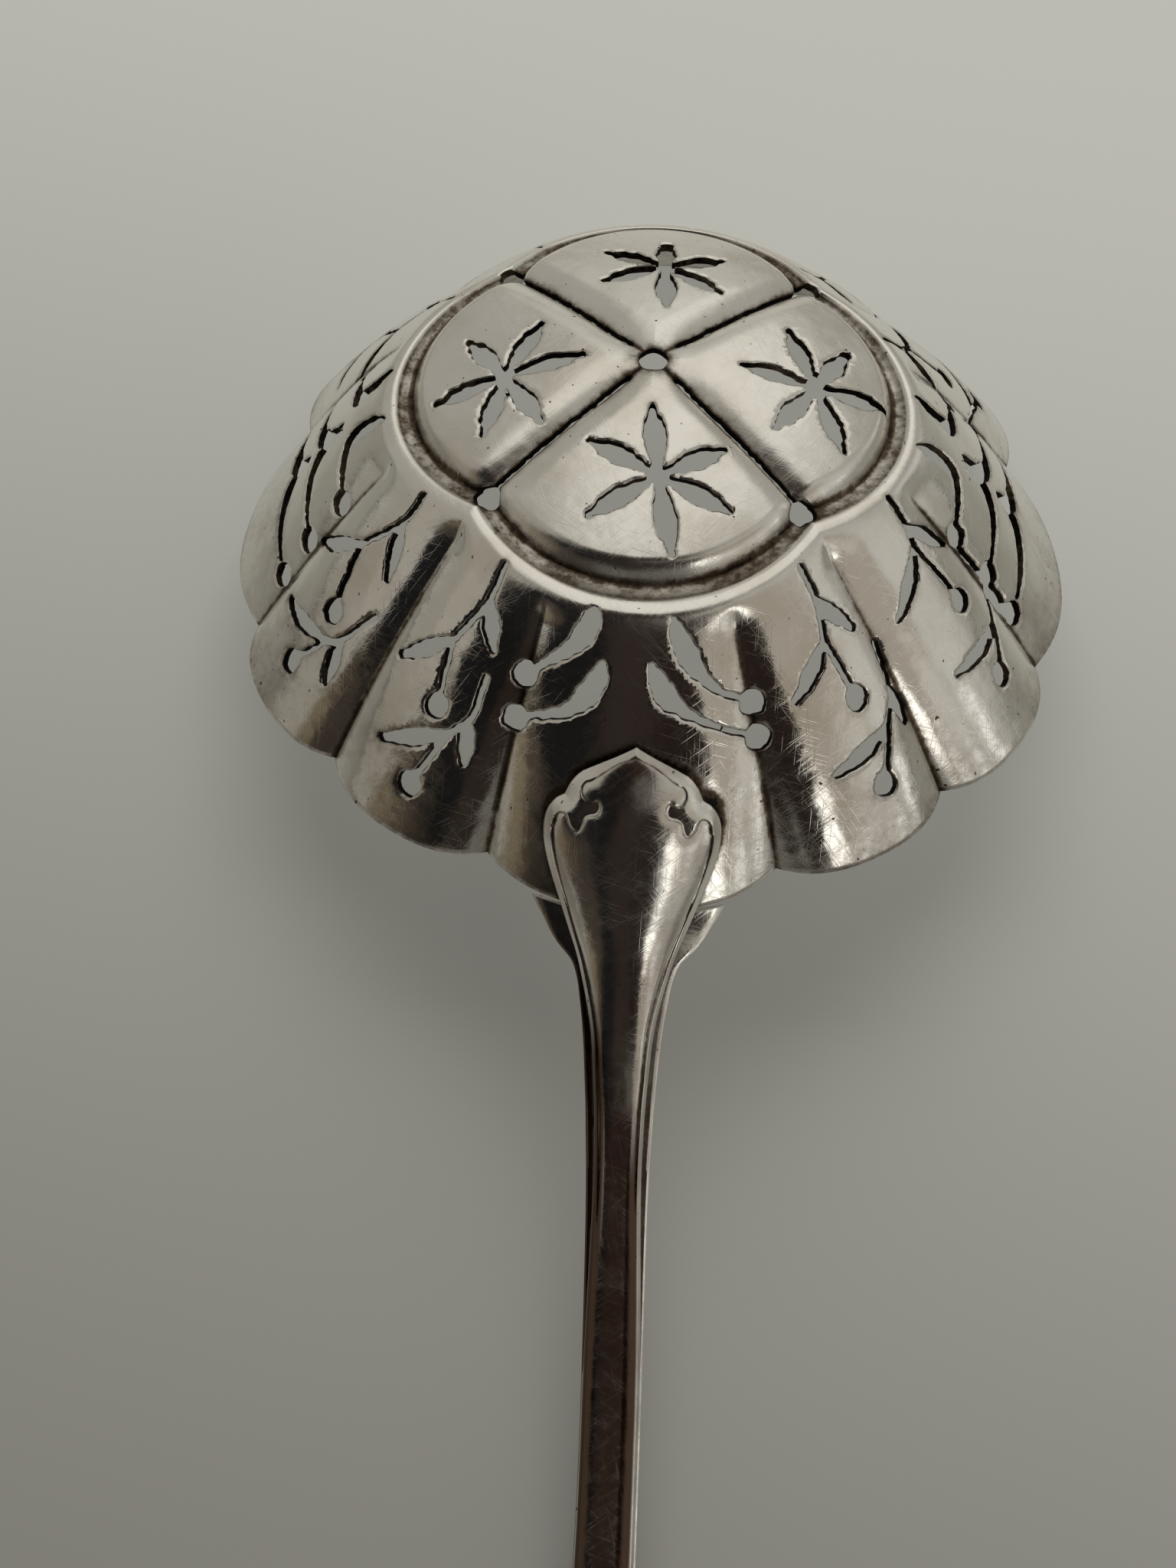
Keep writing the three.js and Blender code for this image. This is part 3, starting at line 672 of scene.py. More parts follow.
@dataclass
class FlatSheet:
    """Faces over the bowl's own coordinates, row and angle, that lines can be cut into."""

    row: np.ndarray
    angle: np.ndarray
    faces: list[tuple[int, ...]]
    snap: float = 0.02
    closest: float = 0.03
    tries: int = 4

    def cut(self, measure: Measure, level: float, keep_low: bool) -> None:
        """Cuts the faces along the line where a measure has a level.

        Args:
            measure: Gives a value for rows and angles.
            level: Value along the line.
            keep_low: Whether faces below the level stay.
        """
        value = measure(self.row, self.angle) - level
        value[np.abs(value) < self.snap] = 0
        kept, crossed = [], []
        for face in self.faces:
            low, high = min(value[i] for i in face), max(value[i] for i in face)
            if low < 0 < high:
                crossed.append(face)
            elif keep_low or high > 0:
                kept.append(face)
        met = self.crossings(crossed, value, measure, level)
        for face in crossed:
            for sign in (1, -1) if keep_low else (1,):
                corners = self.side(face, value, sign, met)
                if len(corners) > 2:
                    kept.append(corners)
        self.faces = kept

    def crossings(
        self, faces: list[tuple[int, ...]], value: np.ndarray, measure: Measure, level: float
    ) -> dict[tuple[int, int], int]:
        """Adds a point on every edge that the line crosses.

        Args:
            faces: Faces that the line crosses.
            value: The measure at each point, less the level.
            measure: Gives a value for rows and angles.
            level: Value along the line.

        Returns:
            The new point of each edge, by the edge's ends in ascending order.
        """
        edges = sorted(
            {
                (min(a, b), max(a, b))
                for face in faces
                for a, b in zip(face, face[1:] + face[:1])
                if value[a] * value[b] < 0
            }
        )
        if not edges:
            return {}
        a, b = np.array(edges).T
        turn = (self.angle[b] - self.angle[a] + math.pi) % (2 * math.pi) - math.pi
        low, high = np.zeros(len(a)), np.ones(len(a))
        start, end = value[a].copy(), value[b].copy()
        for _ in range(self.tries):
            share = np.clip(start / (start - end), self.closest, 1 - self.closest)
            share = low + (high - low) * share
            row = self.row[a] + share * (self.row[b] - self.row[a])
            angle = self.angle[a] + share * turn
            here = measure(row, angle) - level
            same = here * start > 0
            low, start = np.where(same, share, low), np.where(same, here, start)
            high, end = np.where(same, high, share), np.where(same, end, here)
        first = len(self.row)
        self.row = np.concatenate([self.row, row])
        self.angle = np.concatenate([self.angle, angle])
        return {edge: first + i for i, edge in enumerate(edges)}

    @staticmethod
    def side(
        face: tuple[int, ...], value: np.ndarray, sign: int, met: dict[tuple[int, int], int]
    ) -> tuple[int, ...]:
        """Part of a face on one side of the line.

        Args:
            face: Corners of the face.
            value: The measure at each point, less the level.
            sign: 1 for the side above the level, -1 for the side below it.
            met: The line's points by edge.

        Returns:
            Corners of that part.
        """
        corners: list[int] = []
        for a, b in zip(face, face[1:] + face[:1]):
            if value[a] * sign >= 0:
                corners.append(a)
            if value[a] * value[b] < 0:
                corners.append(met[min(a, b), max(a, b)])
        return tuple(corners)

    def open_edges(self) -> list[tuple[int, int]]:
        """Edges with a face on one side only, in that face's direction."""
        seen = {(a, b) for face in self.faces for a, b in zip(face, face[1:] + face[:1])}
        return [edge for edge in seen if (edge[1], edge[0]) not in seen]

    def trim(self) -> None:
        """Drops the points that no face uses."""
        used = sorted({i for face in self.faces for i in face})
        new = {old: i for i, old in enumerate(used)}
        self.faces = [tuple(new[i] for i in face) for face in self.faces]
        self.row, self.angle = self.row[used], self.angle[used]


class NodeGraph:
    """Adds and links the nodes of one shader tree."""

    def __init__(self, tree: bpy.types.NodeTree) -> None:
        """Starts from an empty tree."""
        self.tree = tree
        tree.nodes.clear()

    def add(
        self, kind: str, inputs: dict[str | int, object] | None = None, **settings: object
    ) -> bpy.types.Node:
        """Adds a node.

        Args:
            kind: The node's Blender type.
            inputs: Values or linked sockets by input.
            settings: Other properties by name.

        Returns:
            The node.
        """
        node = self.tree.nodes.new(kind)
        for name, value in settings.items():
            setattr(node, name, value)
        for key, value in (inputs or {}).items():
            if isinstance(value, bpy.types.NodeSocket):
                self.tree.links.new(value, node.inputs[key])
            else:
                node.inputs[key].default_value = value
        return node

    def math(
        self, operation: str, a: object, b: object = 0.0, clamp: bool = False
    ) -> bpy.types.NodeSocket:
        """Works out one sum of two numbers."""
        return self.add("ShaderNodeMath", {0: a, 1: b}, operation=operation, use_clamp=clamp).outputs[0]

    def fit(
        self, value: object, low: float, high: float, to_low: float = 0, to_high: float = 1
    ) -> bpy.types.NodeSocket:
        """Eases a value from one range to another."""
        inputs = {"Value": value, "From Min": low, "From Max": high, "To Min": to_low, "To Max": to_high}
        return self.add("ShaderNodeMapRange", inputs, interpolation_type="SMOOTHSTEP").outputs["Result"]

    def mix(self, share: object, a: object, b: object) -> bpy.types.NodeSocket:
        """Mixes two colours.

        Args:
            share: Share of the second, a number or a linked socket.
            a: The first colour.
            b: The second colour.

        Returns:
            The mixed colour.
        """
        node = self.add("ShaderNodeMix", data_type="RGBA")
        factor, first, second = node.inputs[0], node.inputs[6], node.inputs[7]
        for socket, value in ((factor, share), (first, a), (second, b)):
            if isinstance(value, bpy.types.NodeSocket):
                self.tree.links.new(value, socket)
            else:
                socket.default_value = value
        return node.outputs[2]

    def noise(
        self, vector: object, scale: float, detail: float = 3, roughness: float = 0.55
    ) -> bpy.types.NodeSocket:
        """Cloudy noise from 0 to 1 with so many clouds to the metre."""
        inputs = {"Vector": vector, "Scale": scale, "Detail": detail, "Roughness": roughness}
        return self.add("ShaderNodeTexNoise", inputs).outputs["Fac"]

    def turned(self, vector: object, turn: Vec3, size: Vec3) -> bpy.types.NodeSocket:
        """Texture coordinates turned first and then measured in units of a size along each axis."""
        inputs = {"Vector": vector, "Rotation": turn, "Scale": size}
        return self.add("ShaderNodeMapping", inputs, vector_type="TEXTURE").outputs["Vector"]

    def bump(
        self, depth: float, height: object, under: bpy.types.NodeSocket | None = None
    ) -> bpy.types.NodeSocket:
        """Gives the surface a height of so many metres, over another bump if there is one."""
        inputs = {"Strength": 1.0, "Distance": depth, "Height": height}
        return self.add("ShaderNodeBump", inputs if under is None else inputs | {"Normal": under}).outputs[0]

    def attribute(self, name: str) -> bpy.types.NodeSocket:
        """Reads a number that the mesh holds at its points."""
        return self.add("ShaderNodeAttribute", attribute_name=name).outputs["Fac"]


@dataclass(frozen=True)
class SilverFinish:
    """Old silver: polished metal with fine scratches, tarnish that gathers in its hollows, and painted shade
    and painted dark reflection where a mesh asks for them.
    """

    name: str
    metal: Colour = (0.85, 0.82, 0.76, 1)
    patina: Colour = (0.56, 0.48, 0.38, 1)
    tarnish: Colour = (0.13, 0.095, 0.065, 1)
    soot: Colour = (0.02, 0.017, 0.015, 1)
    # Colour of the painted dark reflection that a mesh asks for.
    painted_dark_reflection: Colour = (0.11, 0.072, 0.052, 1)
    roughness: float = 0.07
    satin_roughness: float = 0.12
    grain_roughness: float = 0.07
    stain_roughness: float = 0.3
    scratch_roughness: float = 0.05
    film: float = 0.35
    film_clouds: Place = (0.42, 0.7)
    # How dark hollows and sawn edges are painted: tarnish, with painted shade where a mesh asks for it.
    hollow_tarnish_and_shade: float = 1.0
    # Tarnish along sawn edges, painted darker as the shade of the sheet's thickness.
    edge_tarnish_and_shade: float = 0.25
    all_over: float = 0.0
    uneven_clouds: Place = (0.3, 0.7)
    uneven: Place = (0.55, 1.25)
    grainy_range: Place = (0.35, 0.7)
    grainy: Place = (0.8, 1.2)
    speck_range: Place = (0.74, 0.8)
    speck_tarnish: float = 0.5
    tarnish_range: Place = (0.05, 0.6)
    soot_range: Place = (0.55, 1.0)
    rough_grains: Place = (0.3, 0.75)
    rough_stain: Place = (0.05, 0.7)
    clouds_per_metre: float = 140
    dents_per_metre: float = 260
    grains_per_metre: float = 1500
    specks_per_metre: float = 1900
    dent_depth: float = 0.09
    grain_depth: float = 0.008
    scratch_depth: float = 0.0022
    scratch_range: Place = (0.61, 0.74)
    scratch_size: Vec3 = (0.00011, 0.0045, 0.0045)
    scratch_turns: tuple[Vec3, ...] = (
        (0.2, 0.4, 0.3), (0.1, -0.5, 1.3), (0.6, 0.2, 2.2), (-0.3, 0.8, -0.7), (0.9, 0.1, 0.9),
    )

    def scratches(self, graph: NodeGraph, place: bpy.types.NodeSocket) -> bpy.types.NodeSocket:
        """Draws hairline scratches in several directions.

        Args:
            graph: Nodes of the finish.
            place: Coordinates on the piece.

        Returns:
            A number from 0 to 1.
        """
        coordinates = [graph.turned(place, turn, self.scratch_size) for turn in self.scratch_turns]
        total, *others = [graph.fit(graph.noise(c, 1, 1), *self.scratch_range) for c in coordinates]
        for lines in others:
            total = graph.math("ADD", total, lines, clamp=True)
        return total

    def stain(
        self,
        graph: NodeGraph,
        place: bpy.types.NodeSocket,
        clouds: bpy.types.NodeSocket,
        grain: bpy.types.NodeSocket,
    ) -> bpy.types.NodeSocket:
        """Gathers tarnish and painted shade in hollows and at sawn edges, unevenly, with a few specks.

        Args:
            graph: Nodes of the finish.
            place: Coordinates on the piece.
            clouds: Slow noise.
            grain: Fine noise.

        Returns:
            A number from 0, bright metal, to 1, black.
        """
        hollow = graph.math("MULTIPLY", graph.attribute("hollow"), self.hollow_tarnish_and_shade)
        edge = graph.math("MULTIPLY", graph.attribute("edge"), self.edge_tarnish_and_shade)
        stain = graph.math("ADD", graph.math("ADD", hollow, self.all_over), edge)
        stain = graph.math("MULTIPLY", stain, graph.fit(clouds, *self.uneven_clouds, *self.uneven))
        stain = graph.math("MULTIPLY", stain, graph.fit(grain, *self.grainy_range, *self.grainy))
        specks = graph.noise(place, self.specks_per_metre, 1)
        specks = graph.fit(specks, *self.speck_range, 0.0, self.speck_tarnish)
        return graph.math("ADD", stain, specks, clamp=True)

    def colour(
        self, graph: NodeGraph, clouds: bpy.types.NodeSocket, stain: bpy.types.NodeSocket
    ) -> bpy.types.NodeSocket:
        """Colours the metal under its films, with painted dark reflection where the mesh holds it.

        Args:
            graph: Nodes of the finish.
            clouds: Slow noise.
            stain: The tarnish.

        Returns:
            The colour.
        """
        film = graph.fit(clouds, *self.film_clouds, 0.0, self.film)
        colour = graph.mix(film, self.metal, self.patina)
        # Painted dark reflection, where the mesh holds it.
        colour = graph.mix(graph.attribute("painted_dark_reflection"), colour, self.painted_dark_reflection)
        colour = graph.mix(graph.fit(stain, *self.tarnish_range), colour, self.tarnish)
        return graph.mix(graph.fit(stain, *self.soot_range), colour, self.soot)

    def material(self) -> bpy.types.Material:
        """Builds the finish.

        Returns:
            The material.
        """
        material = bpy.data.materials.new(self.name)
        material.use_nodes = True
        graph = NodeGraph(material.node_tree)
        place = graph.add("ShaderNodeTexCoord").outputs["Object"]
        clouds = graph.noise(place, self.clouds_per_metre, 4)
        grain = graph.noise(place, self.grains_per_metre, 3, 0.7)
        dents = graph.noise(place, self.dents_per_metre, 2)
        scratches = self.scratches(graph, place)
        stain = self.stain(graph, place, clouds, grain)
        satin = graph.math("MULTIPLY", graph.attribute("satin"), self.satin_roughness)
        rough = graph.fit(grain, *self.rough_grains, 0.0, self.grain_roughness)
        rough = graph.math("ADD", graph.math("ADD", rough, self.roughness), satin)
        rough = graph.math("ADD", rough, graph.fit(stain, *self.rough_stain, 0.0, self.stain_roughness))
        rough = graph.math("ADD", rough, graph.math("MULTIPLY", scratches, self.scratch_roughness))
        normal = graph.bump(self.dent_depth * MM, dents)
        normal = graph.bump(self.scratch_depth * MM, scratches, normal)
        normal = graph.bump(self.grain_depth * MM, grain, normal)
        shader = graph.add(
            "ShaderNodeBsdfPrincipled",
            {
                "Base Color": self.colour(graph, clouds, stain),
                "Roughness": rough,
                "Metallic": 1.0,
                "Normal": normal,
            },
        )
        graph.add("ShaderNodeOutputMaterial", {"Surface": shader.outputs[0]})
        return material


@dataclass(frozen=True)
class Rest:
    """How the spoon lies: on its far rim and the end of its handle."""

    tilt: float = 12.245977660342707

    def matrix(self, shape: BowlShape) -> Matrix:
        """Takes the bowl's own frame in millimetres to the row frame.

        Args:
            shape: The bowl, whose far rim touches the table at the bowl node's far lower edge.

        Returns:
            The transform.
        """
        low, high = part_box("bowl")
        tilt = math.radians(self.tilt)
        reach = shape.far_reach * MM
        back, up = reach * math.cos(tilt), reach * math.sin(tilt)
        place = Vector(((low.x + high.x) / 2, high.y - back, low.z + up))
        return Matrix.Translation(place) @ Matrix.Rotation(-tilt, 4, "X") @ Matrix.Scale(MM, 4)


def mesh_object(
    name: str, points: np.ndarray, faces: Sequence[Sequence[int]], matrix: Matrix
) -> bpy.types.Object:
    """Makes a mesh in the row frame.

    Args:
        name: The object's name.
        points: Its points in the bowl's own frame.
        faces: Its faces as indices of points.
        matrix: Takes the bowl's own frame to the row frame.

    Returns:
        The object, linked to the scene.
    """
    turn = np.array(matrix)
    mesh = bpy.data.meshes.new(name)
    mesh.from_pydata((points @ turn[:3, :3].T + turn[:3, 3]).tolist(), [], [tuple(f) for f in faces])
    mesh.update()
    made = bpy.data.objects.new(name, mesh)
    bpy.context.scene.collection.objects.link(made)
    return made


def set_numbers(made: bpy.types.Object, name: str, values: np.ndarray) -> None:
    """Stores a number at each point of a mesh, for its finish to read."""
    layer = made.data.attributes.new(name, "FLOAT", "POINT")
    layer.data.foreach_set("value", np.asarray(values, np.float32))


def shade(made: bpy.types.Object, angle: float) -> None:
    """Shades a mesh smooth but for edges sharper than an angle in degrees."""
    made.data.polygons.foreach_set("use_smooth", np.ones(len(made.data.polygons), bool))
    made.data.set_sharp_from_angle(angle=math.radians(angle))


@dataclass(frozen=True)
class Fade:
    """How deep something is on a line, and the distance over which it dies out from there."""

    depth: float
    reach: float

    def beside(self, gap: np.ndarray) -> np.ndarray:
        """Depth at a distance from the line, with a sharp peak on it."""
        return self.depth * np.exp(-gap / self.reach)

    def around(self, gap: np.ndarray) -> np.ndarray:
        """Depth at a distance to either side of the line, with a rounded peak on it."""
        return self.depth * np.exp(-((gap / self.reach) ** 2))


class BowlFace(Enum):
    """Faces of the bowl that take a finish of their own."""

    OUTSIDE = 0
    INSIDE = 1
    SAWN = 2


@dataclass
class Bowl:
    """The pierced, fluted bowl of sheet silver."""

    shape: BowlShape
    matrix: Matrix
    wide_steps: int = 56
    narrow_steps: int = 38
    pad_step: float = 0.42
    roll_step: float = 0.2
    roll_margin: float = 1
    wall_rows: int = 66
    edge_round: float = 0.16
    edge_drop: float = 0.1
    sharp: float = 50
    groove_line: Fade = Fade(0.7, 0.22)
    groove_haze: Fade = Fade(0.15, 1.0)
    groove_start: Place = (1.02, 1.3)
    channel_line: Fade = Fade(0.95, 0.24)
    channel_line_out: float = 0.05
    bead_line: Fade = Fade(0.6, 0.15)
    bead_line_in: float = 0.3
    channel_tarnish: float = 0.48
    channel_start: Place = (0.9, 1.2)
    channel_end: Place = (1.9, 2.6)
    pad_line: Fade = Fade(0.8, 0.18)
    # Painted shade of the valleys beside the grooves between the pads, over their tarnish.
    pad_valley_tarnish_and_shade: Fade = Fade(0.24, 0.8)
    hole_haze: Fade = Fade(0.4, 1.1)
    # Darker towards the rim.
    rim_darkening: float = 0.2
    rim_start: Place = (1.45, 2.0)
    # Tarnish round the tongue, painted darker as the shade in its corner with the bowl.
    tongue_tarnish_and_shade: Fade = Fade(1, 0.3)
    # Tarnish along sawn edges, painted darker as the shade of the sheet's thickness.
    sawn_tarnish_and_shade: Fade = Fade(1, 0.35)
    satin_end: Place = (0.95, 1.25)
    handle_side: float = 0.9
    made: bpy.types.Object = field(init=False)

    def angles(self) -> np.ndarray:
        """Spaces the columns of the grid, with one in every groove.

        Returns:
            The columns' angles from the handle.
        """
        wide, narrow = self.shape.wide_half, self.shape.narrow_half
        runs = []
        for quarter in range(4):
            start = quarter * QUARTER - wide
            runs.append(start + 2 * wide * np.arange(self.wide_steps) / self.wide_steps)
            for _ in range(2):
                start = runs[-1][-1] * 2 - runs[-1][-2]
                runs.append(start + 2 * narrow * np.arange(self.narrow_steps) / self.narrow_steps)
        return np.concatenate(runs)

    def rows(self) -> np.ndarray:
        """Spaces the rows of the grid, closest where the pads roll over into the channel.

        Returns:
            Rows from the centre hole, 0, past the crest, 1, to the rim, 2.
        """
        start, crest = self.shape.centre_hole / 2, self.shape.crest_radius
        roll = crest - self.shape.channel_setback - self.shape.pad_roll - self.roll_margin
        inner = np.arange(start, roll, self.pad_step)
        outer = np.linspace(roll, crest, round((crest - roll) / self.roll_step))
        pad = (np.concatenate([inner, outer]) - start) / (crest - start)
        return np.concatenate([pad, 1 + np.arange(1, self.wall_rows + 1) / self.wall_rows])

    def to_edge(
        self, piercing: Piercing, motifs: list[list[Cut]], row: np.ndarray, angle: np.ndarray
    ) -> np.ndarray:
        """Measures points of the skin against the nearest hole, the centre hole and the rim.

        Args:
            piercing: The holes.
            motifs: Their cuts, grouped by motif.
            row: Rows of the points.
            angle: Angles of the points.

        Returns:
            Distance to the nearest edge, negative inside a hole.
        """
        points = self.shape.skin(row, angle)[0]
        from_centre = self.shape.pad_radius(row, angle) - self.shape.centre_hole / 2
        from_rim = np.abs(points[:, 2] / math.sin(math.radians(self.shape.rim_slope)))
        return np.minimum(np.minimum(piercing.clearance(points, motifs), from_centre), from_rim)

    def sheet(self, piercing: Piercing) -> tuple[FlatSheet, np.ndarray]:
        """Cuts the piercings into a grid of faces.

        Args:
            piercing: The holes.

        Returns:
            The cut grid, and each point's distance to the nearest edge.
        """
        angles, rows = self.angles(), self.rows()
        row, angle = np.meshgrid(rows, angles)
        count, ring = len(rows), len(angles)
        faces = []
        for column in range(ring):
            here, beside = column * count, (column + 1) % ring * count
            faces += [(here + i, here + i + 1, beside + i + 1, beside + i) for i in range(count - 1)]
        sheet = FlatSheet(row.ravel(), angle.ravel(), faces)
        to_edge = partial(self.to_edge, piercing, piercing.wall_cuts() + piercing.medallion_cuts())
        sheet.cut(to_edge, self.edge_round, keep_low=True)
        sheet.cut(to_edge, 0, keep_low=False)
        sheet.trim()
        return sheet, np.maximum(to_edge(sheet.row, sheet.angle), 0)

    def hollows(self, sheet: FlatSheet, handle: Handle) -> np.ndarray:
        """How dark each point of the skin is painted, from 0 to 1: tarnish in grooves and corners, with
        painted shade beside the pads and round the tongue, and darker towards the rim.

        Args:
            sheet: The cut grid.
            handle: The handle, whose tongue has a corner with the bowl.

        Returns:
            A number for each point.
        """
        shape, row, angle = self.shape, sheet.row, sheet.angle
        points = shape.skin(row, angle)[0]
        radius = np.where(row > 1, np.hypot(points[:, 0], points[:, 1]), shape.pad_radius(row, angle))
        off = np.abs(shape.from_axis(angle))
        flute = radius * np.minimum(np.abs(off - shape.wide_half), np.abs(QUARTER / 2 - off))
        grooves = self.groove_line.beside(flute) + self.groove_haze.beside(flute)
        grooves = grooves * smoothstep(row, *self.groove_start)
        back = shape.setback(angle, radius)
        inner_line = self.channel_line.around(back - shape.channel_setback + self.channel_line_out)
        outer_line = self.bead_line.around(back - shape.bead_width - self.bead_line_in)
        in_channel = smoothstep(back, *self.channel_start) * (1 - smoothstep(back, *self.channel_end))
        channel = np.maximum(np.maximum(inner_line, outer_line), self.channel_tarnish * in_channel)
        beside = shape.from_groove(angle, radius)
        # Tarnish along the grooves between the pads, with a wide painted shade of the valleys beside them.
        pads = self.pad_line.beside(beside) + self.pad_valley_tarnish_and_shade.beside(beside)
        pads = pads * (back > shape.channel_setback)
        centre = self.hole_haze.beside(np.maximum(radius - shape.centre_hole / 2, 0))
        hollow = np.where(row > 1, grooves, np.maximum(np.maximum(channel, pads), centre))
        # Darker towards the rim.
        hollow = np.maximum(hollow, self.rim_darkening * smoothstep(row, *self.rim_start))
        # Tarnish round the tongue, painted darker as the shade in its corner with the bowl.
        flat = np.stack([points[:, 0], handle.stations_on_wall(row - 1)], -1)
        near = (row > 1) & (np.cos(angle) > self.handle_side)
        gap = np.full(len(points), FAR)
        gap[near] = distance_to_outline(flat[near], handle.tongue_outline())
        return np.maximum(hollow, self.tongue_tarnish_and_shade.beside(np.maximum(gap, 0)))

    def build(self, piercing: Piercing, handle: Handle) -> bpy.types.Object:
        """Makes the sheet with its thickness.

        Args:
            piercing: The holes.
            handle: The handle that is soldered to it.

        Returns:
            The bowl.
        """
        sheet, to_edge = self.sheet(piercing)
        skin, out = self.shape.skin(sheet.row, sheet.angle)
        near = np.clip(1 - to_edge / self.edge_round, 0, 1)
        outside = skin - out * (self.edge_drop * near**2)[:, None]
        inside = skin - out * self.shape.sheet
        count = len(skin)
        faces = [face[::-1] for face in sheet.faces]
        faces += [tuple(i + count for i in face) for face in sheet.faces]
        sawn = [(a, b, b + count, a + count) for a, b in sheet.open_edges()]
        kinds = [BowlFace.OUTSIDE.value] * len(sheet.faces) + [BowlFace.INSIDE.value] * len(sheet.faces)
        kinds += [BowlFace.SAWN.value] * len(sawn)
        self.made = mesh_object("pierced_bowl", np.vstack([outside, inside]), faces + sawn, self.matrix)
        self.made.data.polygons.foreach_set("material_index", np.array(kinds, np.int32))
        numbers = {
            "hollow": self.hollows(sheet, handle),
            # Tarnish along sawn edges, painted darker as the shade of the sheet's thickness.
            "edge": self.sawn_tarnish_and_shade.beside(to_edge),
            "satin": 1 - smoothstep(sheet.row, *self.satin_end),
        }
        for name, values in numbers.items():
            set_numbers(self.made, name, np.concatenate([values, values]))
        shade(self.made, self.sharp)
        return self.made

    def dress(self, finishes: dict[BowlFace, SilverFinish]) -> None:
        """Gives each kind of face its finish, and sets the bowl in the frame.

        Args:
            finishes: The finish of each kind.
        """
        for kind in BowlFace:
            self.made.data.materials.append(finishes[kind].material())
        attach(self.made, "root")
        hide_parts("bowl")


